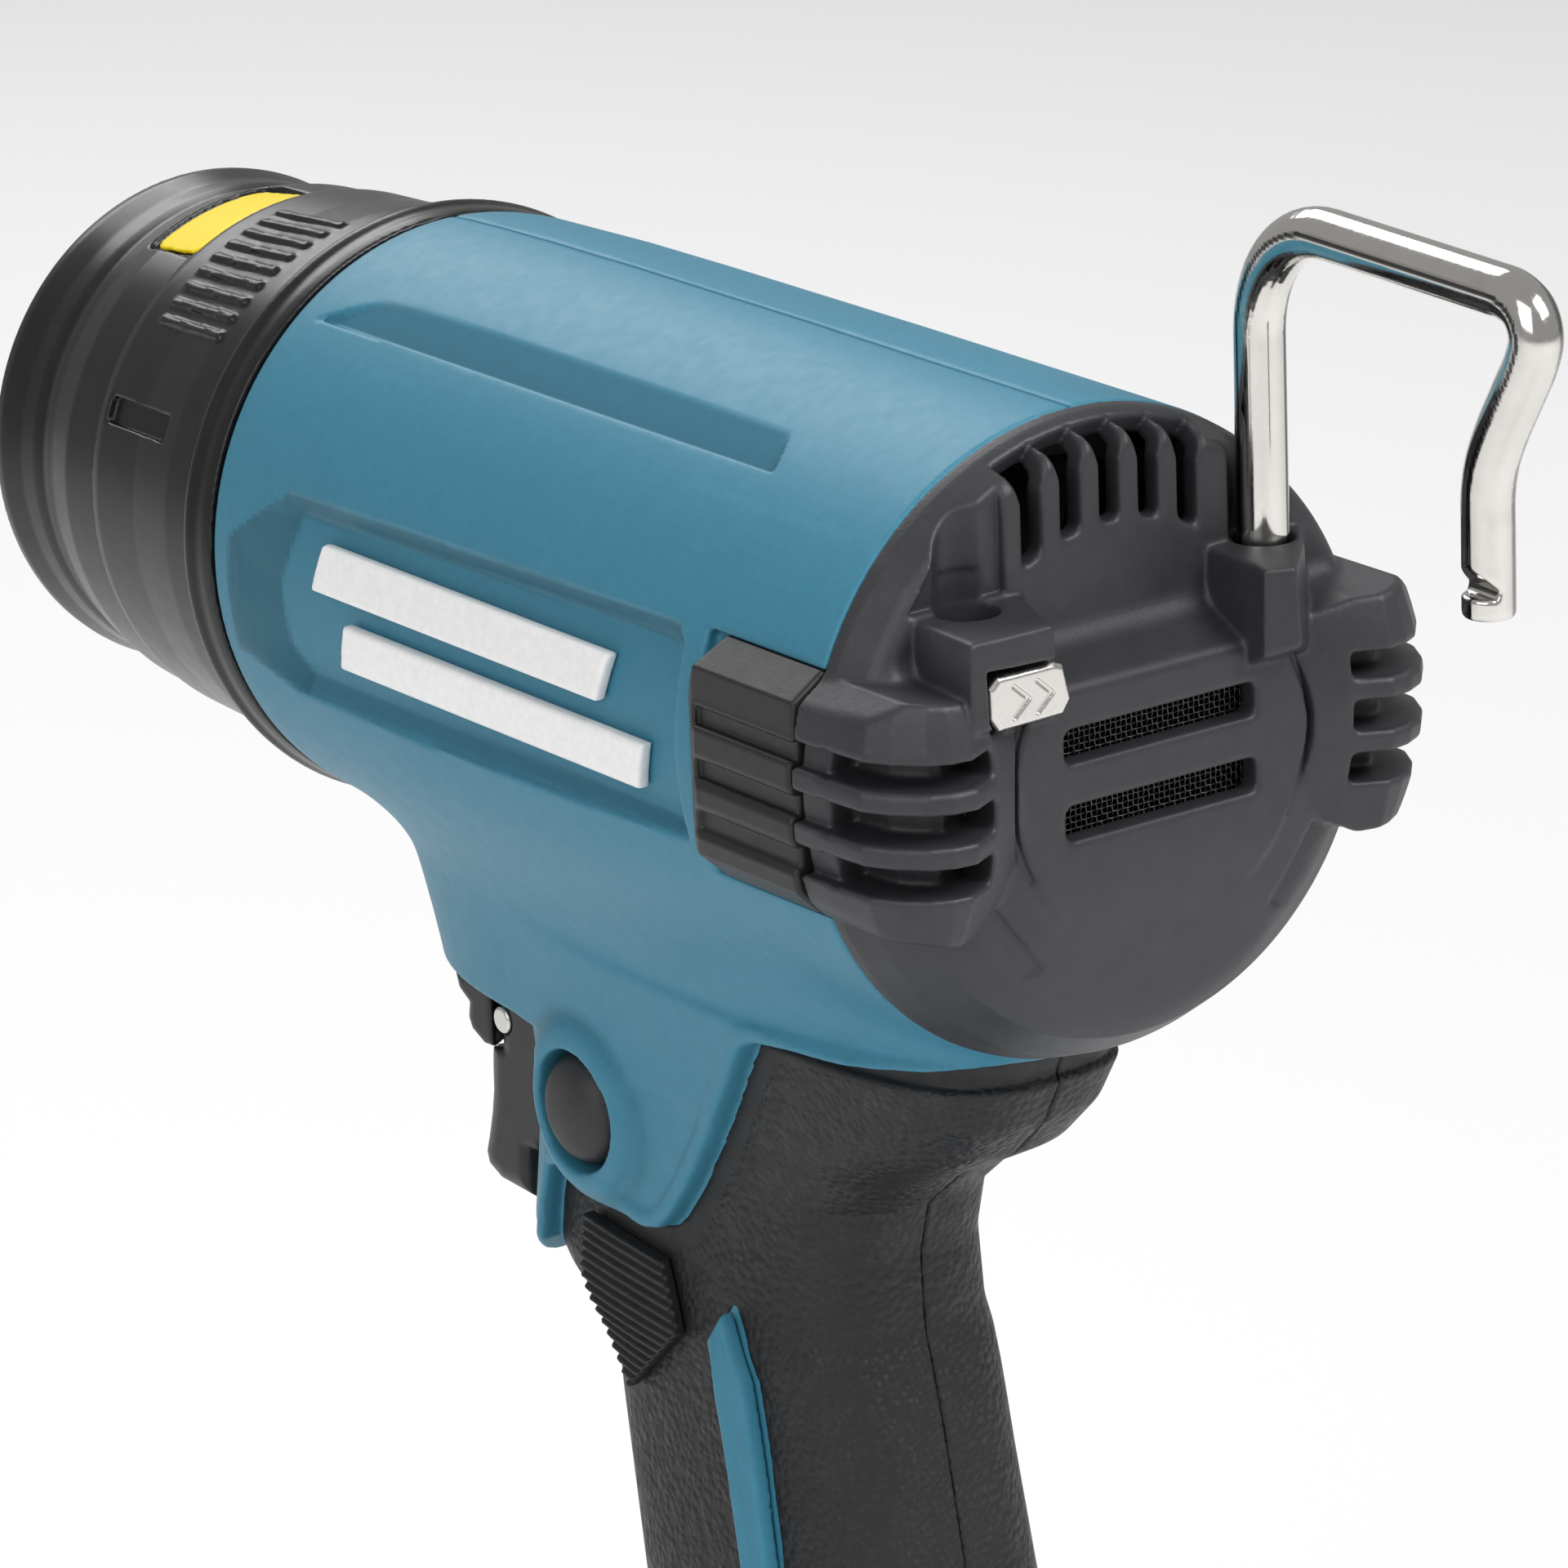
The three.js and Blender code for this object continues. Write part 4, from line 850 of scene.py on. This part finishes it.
def plated_rod():
    k = Look("plated_rod", (0.72, 0.7, 0.665), 0.12, 1.0)
    k.tint(k.spread(k.noise(4, 5), 0, 0.2), (0.4, 0.38, 0.34))
    k.tint(k.spread(k.mark("band"), 0, 0.93, 0.25, 0.8), (0.03, 0.028, 0.026))
    k.roughness(k.spread(k.noise(0.5, 3), 0.07, 0.17))
    k.bump(k.noise(9, 2), 0.05)
    k.bump(k.noise(0.4, 3), 0.0015)
    return k.m


def hook():
    # s along the swing, n across it, z up
    g = Grid((-3.4, -3.4, 2.4), (45.6, 3.4, 51.6), 0.2)
    bend = [(BEND_RADIUS - BEND_RADIUS * math.cos(a), BEND_START + BEND_RADIUS * math.sin(a))
            for a in np.linspace(0.08, math.pi / 2, 16)]
    path = np.vstack([HOOK_PATH[:3], bend, spline(HOOK_PATH[3:])])
    off = along(g.X, g.Z, path)
    d = away(off, g.Y) - F(HOOK_RADIUS)
    ends = np.maximum(F(3.2) - g.Z, np.where(g.X > 30, F(HOOK_TIP) - g.Z, F(-9)))
    d = both(d, ends, 0.8)
    corners = ((-0.5, 3.0), (-4, 6.6), (-4, 2.2), (-0.7, 2.2))
    notch = outline(g.Y, g.Z, [(y, HOOK_TIP + up) for y, up in corners])
    d = cut(d, both(notch, 30 - g.X), 0.25)
    a = math.radians(HOOK_TURN)

    def turn(v):
        x = -BORE[0] + v[:, 0] * math.cos(a) - v[:, 1] * math.sin(a)
        y = BORE[1] + v[:, 0] * math.sin(a) + v[:, 1] * math.cos(a)
        return np.stack([x, y, v[:, 2]], 1)

    ob = skin("hook_rod", g, d, marks={"band": rod_bands(g, path, off)}, turn=turn)
    put(ob, "hook", "plated_steel", plated_rod(), "hook")


def release_button():
    g = Grid((11.6, 12.0, 7.2), (22.4, 15.6, 14.0), 0.09)
    face = [(20.6, 13.2), (14.1, 13.2), (13, 12.8), (12.2, 9.4), (13.2, 8), (20.6, 7.9), (21.7, 9.4),
            (21.7, 12.2)]
    o = outline(g.X, g.Z, face)
    d = both(o, np.maximum(F(12.8) - g.Y, g.Y - 15), 0.25)
    d = both(d, o + (g.Y - F(15)) * F(0.9) + F(0.35), 0.2)
    for lines in ([(18.9, 12.0), (17.2, 10.5), (18.9, 9.0)], [(16.2, 12.0), (14.5, 10.5), (16.2, 9.0)]):
        d = cut(d, both(along(g.X, g.Z, lines) - F(0.22), F(14.8) - g.Y), 0.08)
    put(skin("release_button_cap", g, d), "release_button", "plated_steel", SATIN, "hook_release_button")


# ---------------- trigger group and lock-on button
TRIGGER = [(-90.6, -54.8), (-92.6, -55.2), (-92.8, -57.5), (-92.9, -60.2), (-93.4, -62.9), (-94.2, -65.8),
           (-94.8, -67.6), (-94.4, -68.9), (-92.2, -69.9), (-84.5, -70.3), (-84.2, -64.2), (-77.2, -63.2),
           (-77, -48.5), (-83, -46.8), (-90.6, -46.8)]
LEVER_NOSE = [(-98.3, -47.2), (-91.2, -46.9), (-91.2, -54.2), (-93.2, -54.3), (-95.5, -53.2), (-96.1, -52),
              (-95.8, -50.3), (-97.6, -49.2)]
LEVER_HUB = [(-92, -47.6), (-86, -47), (-83.8, -50.4), (-85.8, -54.2), (-92, -54.5)]
PIN_RADIUS, PIN_BORE = 1.5, 1.62
TRIGGER_HALF_WIDTH = 8.9


def trigger_group():
    g = Grid((-9.8, -99.2, -71), (9.8, -76.4, -46.2), 0.2)
    ax = np.abs(g.X)
    bore = rod(g, "x", PIN_BORE, *PIN)
    # the finger face draws back towards its sides
    round_off = F(4.6) * (ax / 9) ** 3 - F(1.3)
    d = both(outline(g.Y, g.Z, TRIGGER), outline(g.Y - round_off, g.Z - round_off * F(0.45), TRIGGER))
    d = both(d, ax - F(TRIGGER_HALF_WIDTH), 1.6)
    fork = outline(g.Y, g.Z, [(-95, -40), (-83.2, -40), (-83.2, -53), (-86, -54.7), (-95, -54.7)])
    d = cut(cut(d, both(fork, ax - F(4.8)), 0.3), bore, 0.2)
    put(skin("trigger_skin", g, d), "trigger", "black_plastic", BLACK, "trigger")
    nose = both(outline(g.Y - round_off * F(0.7), g.Z, LEVER_NOSE), ax - F(8.95), 1.1)
    for z in (-48.6, -50.2, -51.8):
        groove = away(g.Y, g.Z, -97.4 - (z + 48.6) * 0.35, z) - F(0.5)
        nose = cut(nose, both(groove, ax - F(7)), 0.3)
    hub = both(outline(g.Y, g.Z, LEVER_HUB), ax - F(4.35), 0.6)
    d = cut(join(nose, hub, 0.4), bore, 0.2)
    put(skin("trigger_lever_skin", g, d), "trigger_lever", "black_plastic", BLACK, "trigger_lever")
    g = Grid((-9.9, -89.2, -52.4), (9.9, -85.2, -48.4), 0.12)
    d = rod(g, "x", PIN_RADIUS, *PIN, -9.2, 9.2, 0.5)
    put(skin("lever_pin_skin", g, d), "trigger", "plated_steel", SATIN, "lever_pin")


def lock_on_button():
    by, bz = BUTTON
    g = Grid((7.4, by - 7.4, bz - 7.4), (19.4, by + 7.4, bz + 7.4), 0.18)
    r = away(g.Y, g.Z, by, bz)
    d = both(r - F(5.85), g.X - F(18.7) + r * r * F(0.03), 2.8)
    d = both(join(d, both(r - F(6.8), g.X - 9), 0.4), 8 - g.X)
    put(skin("lock_on_button_skin", g, d), "lock_on_button", "rubber_grip", BUTTON_RUBBER, "lock_on_button")


# ---------------- screen, screws, dial
def tubes(name, paths, radius, sides=6):
    """Thin wires along several paths, as one mesh."""
    verts, faces, base = [], [], 0
    for p in paths:
        p = np.array(p, float)
        t = np.gradient(p, axis=0)
        t /= np.linalg.norm(t, axis=1)[:, None]
        side = np.cross(t, [0, 1, 0])
        side /= np.linalg.norm(side, axis=1)[:, None]
        other = np.cross(side, t)
        a = np.arange(sides) * 2 * math.pi / sides
        cos, sin = np.cos(a)[None, :, None], np.sin(a)[None, :, None]
        ring = p[:, None] + radius * (cos * side[:, None] + sin * other[:, None])
        verts.append(ring.reshape(-1, 3))
        n = len(p)
        i, j = np.meshgrid(np.arange(n - 1), np.arange(sides), indexing="ij")
        k = (j + 1) % sides
        here, ahead = i * sides, (i + 1) * sides
        faces.append((base + np.stack([here + j, here + k, ahead + k, ahead + j], -1)).reshape(-1, 4))
        half = [[0, 1, 2, 3], [0, 3, 4, 5]]
        faces.append(base + np.array([q[::-1] for q in half]))
        faces.append(base + (n - 1) * sides + np.array(half))
        base += n * sides
    return new_mesh(name, to_object(np.vstack(verts)), np.vstack(faces))


def intake_screen():
    """Plain weave: each wire goes over and under the ones it crosses."""
    pitch, y0, amp = 0.62, 9.2, 0.07
    half, low = 13.3, -7.4
    paths = []
    xs = np.arange(-half, half + 0.01, pitch / 4)
    for n, z in enumerate(np.arange(low, 5.6, pitch)):
        paths.append([(x, y0 + amp * math.cos(math.pi * (x + half) / pitch + n * math.pi), z) for x in xs])
    zs = np.arange(low - 0.1, 5.61, pitch / 4)
    for n, x in enumerate(np.arange(-half, half + 0.1, pitch)):
        paths.append([(x, y0 - amp * math.cos(math.pi * (z - low) / pitch + n * math.pi), z) for z in zs])
    put(tubes("intake_screen_mesh", paths, 0.085), "housing", "screen_steel", WIRE, "intake_screen")


def screws():
    g = Grid((-10.6, -3.2, -3.2), (8, 3.2, 3.2), 0.16)
    r = away(g.Y, g.Z)
    a = np.arctan2(g.Z, g.Y)
    head = both(r - F(2.8), np.maximum(F(-10.2) - g.X + r * r * F(0.05), g.X + F(8.4)), 0.5)
    pitch = 1.1
    thread = F(0.12) * np.cos(g.X * F(2 * math.pi / pitch) + a)
    shaft = both(r - F(1.15) - thread, np.maximum(-9 - g.X, g.X - F(7.5)), 0.3)
    star = both(r - F(1.15) - F(0.3) * np.cos(6 * a), g.X + F(9.1), 0.1)
    d = cut(join(head, shaft, 0.3), star, 0.1)
    first = skin("housing_screw_1_skin", g, d)
    base = first.data
    for i, (y, z) in enumerate(SCREWS):
        me = base.copy()
        me.transform(Matrix.Translation((0, y / 1000, z / 1000)))
        ob = bpy.data.objects.new(f"screw_{i + 1}", me)
        bpy.context.scene.collection.objects.link(ob)
        put(ob, "housing", "screw_steel", ZINC, f"housing_screw_{i + 1}")
    bpy.data.objects.remove(first)


def dial():
    g = Grid((-9.2, -91.2, -158.8), (9.2, -72.8, -144.9), 0.2)
    x, y = g.X, g.Y + F(82)
    r, a = np.sqrt(x * x + y * y), np.arctan2(y, x)
    top = both(r - F(8.4) + F(0.18) * np.cos(24 * a), np.maximum(-155 - g.Z, g.Z + F(145.4)), 0.8)
    top = cut(top, both(r - F(6.2), F(-146.0) - g.Z, 0.4), 0.4)
    top = join(top, block(g, -1.1, 1.1, -88.2, -75.8, -150, -145.45, 0.4), 0.5)
    top = cut(top, block(g, -0.35, 0.35, -91, -84.4, -146.3, -144, 0.1), 0.1)
    d = join(top, rod(g, "z", 2.4, 0, -82, -158.4, -154, 0.3), 0.4)
    put(skin("dial_knob", g, d), "temperature_dial", "black_plastic", BLACK, "temperature_dial")


# ---------------- battery, from its underside
LOWER_ROWS = [(0, -55, 55, 34.5), (2, -57, 57, 36.5), (5, -57.6, 57.6, 37.1), (29.8, -58, 58, 37.5)]
UPPER_ROWS = [(30.1, -58, 58, 37.5), (54, -57.7, 57.7, 37.2), (60, -56.4, 56.4, 35.9), (62, -54, 54, 33.5)]


def battery():
    g = Grid((-38.4, -59.4, -0.8), (38.4, 59.4, 67), 0.62)
    inside = block(g, -34, 34, -50.5, 50.5, 2.5, 46, 2)
    ax, ay = np.abs(g.X), np.abs(g.Y)
    d = cut(lofted(g, LOWER_ROWS, 7, blur=1), inside)
    # finger grip: sunk panel with upright ribs on each side
    panel = both(both(ay - F(36), np.abs(g.Z - F(17)) - F(9.5), 3), F(36.2) - ax)
    pitch = 4.0
    ribs = both(np.abs((g.Y / F(pitch)) - np.round(g.Y / F(pitch))) * F(pitch) - F(1.0), ax - F(37.1), 0.5)
    d = cut(d, both(panel, -ribs, 0.4), 0.5)
    put(skin("battery_lower_skin", g, d, own_frame=True), "battery", "black_plastic", BLACK,
        "battery_lower_case")
    # upper case with rails, their grooves, the recess of the contacts and its slots
    d = lofted(g, UPPER_ROWS, 7, blur=1)
    d = both(d, (ax - F(37.5)) * F(0.7) + (g.Z - F(58)) * F(0.7), 2)
    d = join(d, block(g, -25.8, 25.8, -56, 41, 55, 66, 0.8), 0.5)
    d = cut(d, both(both(F(23.6) - ax, np.abs(g.Z - F(63.2)) - F(0.8)), g.Y - 38), 0.4)
    d = cut(d, inside)
    d = cut(d, block(g, -17.5, 17.5, 3, 44, 62.2, 70, 0.6), 0.4)
    for x in (-11, 0, 11):
        d = cut(d, block(g, x - 0.9, x + 0.9, 6, 50, 58, 64))
    # seat of the latch, and a shallow panel on each side
    d = cut(d, block(g, -15, 15, -62, -51.5, 38, 57, 2), 0.6)
    d = cut(d, block(g, -9, 9, -57, -51.5, 50, 72, 0.5), 0.4)
    d = cut(d, both(both(ay - F(40), np.abs(g.Z - F(44)) - F(6), 3), F(36.7) - ax), 0.5)
    put(skin("battery_upper_skin", g, d, own_frame=True), "battery", "grey_cover", GREY,
        "battery_upper_case")


def battery_latch():
    g = Grid((-15.2, -59.4, 42), (15.2, -51.2, 67), 0.3)
    d = block(g, -14.5, 14.5, -58.6, -53, 43, 56.4, 1.2)
    for z in (45.6, 47.8, 50, 52.2, 54.4):
        groove = both(np.abs(g.Z - F(z)) - F(0.45), g.Y + F(57.9))
        d = cut(d, both(groove, np.abs(g.X) - F(11.5), 0.4), 0.3)
    d = join(d, block(g, -8.5, 8.5, -56.4, -52, 48, 66.2, 0.6), 0.4)
    ob = skin("battery_latch_skin", g, d, own_frame=True)
    put(ob, "battery_latch", "black_plastic", BLACK, "battery_latch")


WHITE = plastic("white_label", (0.9, 0.9, 0.89), 0.4, 0.5, 0.004, 0.01, 0.0)
SATIN = metal("satin_steel", (0.68, 0.66, 0.63), 0.2, (1, 1, 6), 0.001, 0.12, 0.5)
ZINC = metal("zinc_screws", (0.5, 0.5, 0.5), 0.36, (1, 1, 1), 0.004, 0.4, 0.4)
WIRE = metal("screen_wire", (0.2, 0.2, 0.2), 0.45, (1, 1, 1), 0.002, 0.3, 0.5)
BUTTON_RUBBER = plastic("button_rubber", (0.017, 0.017, 0.018), 0.55, 0.4, 0.02, 0.3, 0.2)
label_bars()
hook()
release_button()
trigger_group()
lock_on_button()
intake_screen()
screws()
dial()
battery()
battery_latch()


# ---------------- what stays as the CAD drew it
def inner_looks():
    steel = metal("drawn_steel", (0.52, 0.5, 0.48), 0.34, (0.4, 4, 0.4), 0.004, 0.5, 0.6)
    spring = metal("spring_steel", (0.6, 0.6, 0.6), 0.3, (1, 1, 1), 0.002, 0.3, 0.5)
    dark = plastic("inner_plastic", (0.022, 0.022, 0.023), 0.5, 0.5, 0.02, 0.25, 0.2)
    board = plastic("circuit_board", (0.03, 0.12, 0.05), 0.32, 1.4, 0.015, 0.3, 0.3)
    cell = plastic("cell_sleeve", (0.1, 0.28, 0.45), 0.3, 0.8, 0.006, 0.1, 0.1)
    wire = metal("heater_wire", (0.33, 0.27, 0.22), 0.5, (1, 1, 1), 0.006, 0.6, 0.4)
    k = Look("mica", (0.42, 0.33, 0.2), 0.35)
    k.tint(k.spread(k.cells(1.8), 0, 0.6, 0.0, 0.8), (0.62, 0.54, 0.4))
    k.tint(k.spread(k.noise(5, 4), 0, 0.4), (0.24, 0.17, 0.1))
    k.bump(k.cells(1.8), 0.03)
    groups = ((wire, "heater_coil"), (k.m, "heater_former insulating_tube"),
              (steel, "nozzle_tube motor_can thermal_cutout"),
              (spring, "motor_shaft trigger_spring hook_release_spring hook_clip"),
              (board, "control_board battery_board"),
              (dark, "fan_duct fan_impeller switch_body terminal_block"),
              (cell, " ".join(f"battery_cell_{i}" for i in range(1, 11))))
    looks = {name: look for look, names in groups for name in names.split()}
    for name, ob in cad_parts.items():
        if name in looks:
            ob.data.materials.clear()
            ob.data.materials.append(looks[name])
        elif not ob.hide_render:
            raise RuntimeError(f"{name} has no look")


inner_looks()


# ---------------- stage
FLOOR_HALF = 8         # metres, like every length from here on
SKY_STRENGTH = 0.38
LAMP_TARGET = (0, 0, 0.2)
# name, place, size and power of each lamp
LAMPS = (("key", (-0.35, 0.95, 1.35), 0.9, 20), ("fill", (1.3, 0.5, 1.0), 1.2, 9),
         ("rim", (-0.3, -1.2, 1.2), 0.8, 9))
# the camera that took the photo, fitted to the barrel's circles and seam
LENS, SENSOR = 182.5, 36
CAMERA_PLACE = (0.43562, 0.61148, 0.46111)
CAMERA_ANGLES = (144.44, 18.27, -2.21)   # azimuth, elevation and roll in degrees


def add_object(name, data):
    ob = bpy.data.objects.new(name, data)
    bpy.context.scene.collection.objects.link(ob)
    return ob


def stage():
    s = bpy.context.scene
    me = bpy.data.meshes.new("floor")
    corners = [(x * FLOOR_HALF, y * FLOOR_HALF, 0) for x, y in ((-1, -1), (1, -1), (1, 1), (-1, 1))]
    me.from_pydata(corners, [], [(0, 1, 2, 3)])
    floor = add_object("floor", me)
    k = Look("floor", (0.88, 0.88, 0.885), 0.7)
    k.tint(k.spread(k.noise(300, 2), 0, 0.1), (0.84, 0.84, 0.85))
    me.materials.append(k.m)
    s.world = bpy.data.worlds.new("studio")
    s.world.use_nodes = True
    sky = s.world.node_tree.nodes["Background"]
    sky.inputs["Color"].default_value = (1, 1, 1, 1)
    sky.inputs["Strength"].default_value = SKY_STRENGTH
    for name, place, size, power in LAMPS:
        lamp = bpy.data.lights.new(name, "AREA")
        lamp.shape, lamp.size, lamp.energy = "SQUARE", size, power
        ob = add_object(name, lamp)
        ob.location = place
        ob.rotation_euler = (Vector(place) - Vector(LAMP_TARGET)).to_track_quat("Z", "Y").to_euler()
    s.view_settings.view_transform = "Standard"
    cam = bpy.data.cameras.new("camera")
    cam.lens, cam.sensor_width = LENS, SENSOR
    cam.clip_start, cam.clip_end = 0.01, 50
    a, e, roll = (math.radians(v) for v in CAMERA_ANGLES)
    back = Vector((math.sin(a) * math.cos(e), -math.cos(a) * math.cos(e), math.sin(e)))
    right = Vector((math.cos(a), math.sin(a), 0))
    up = back.cross(right)
    rolled_right = math.cos(roll) * right + math.sin(roll) * up
    rolled_up = -math.sin(roll) * right + math.cos(roll) * up
    m = Matrix((rolled_right, rolled_up, back)).transposed().to_4x4()
    m.translation = Vector(CAMERA_PLACE)
    s.camera = add_object("camera", cam)
    s.camera.matrix_world = m


stage()
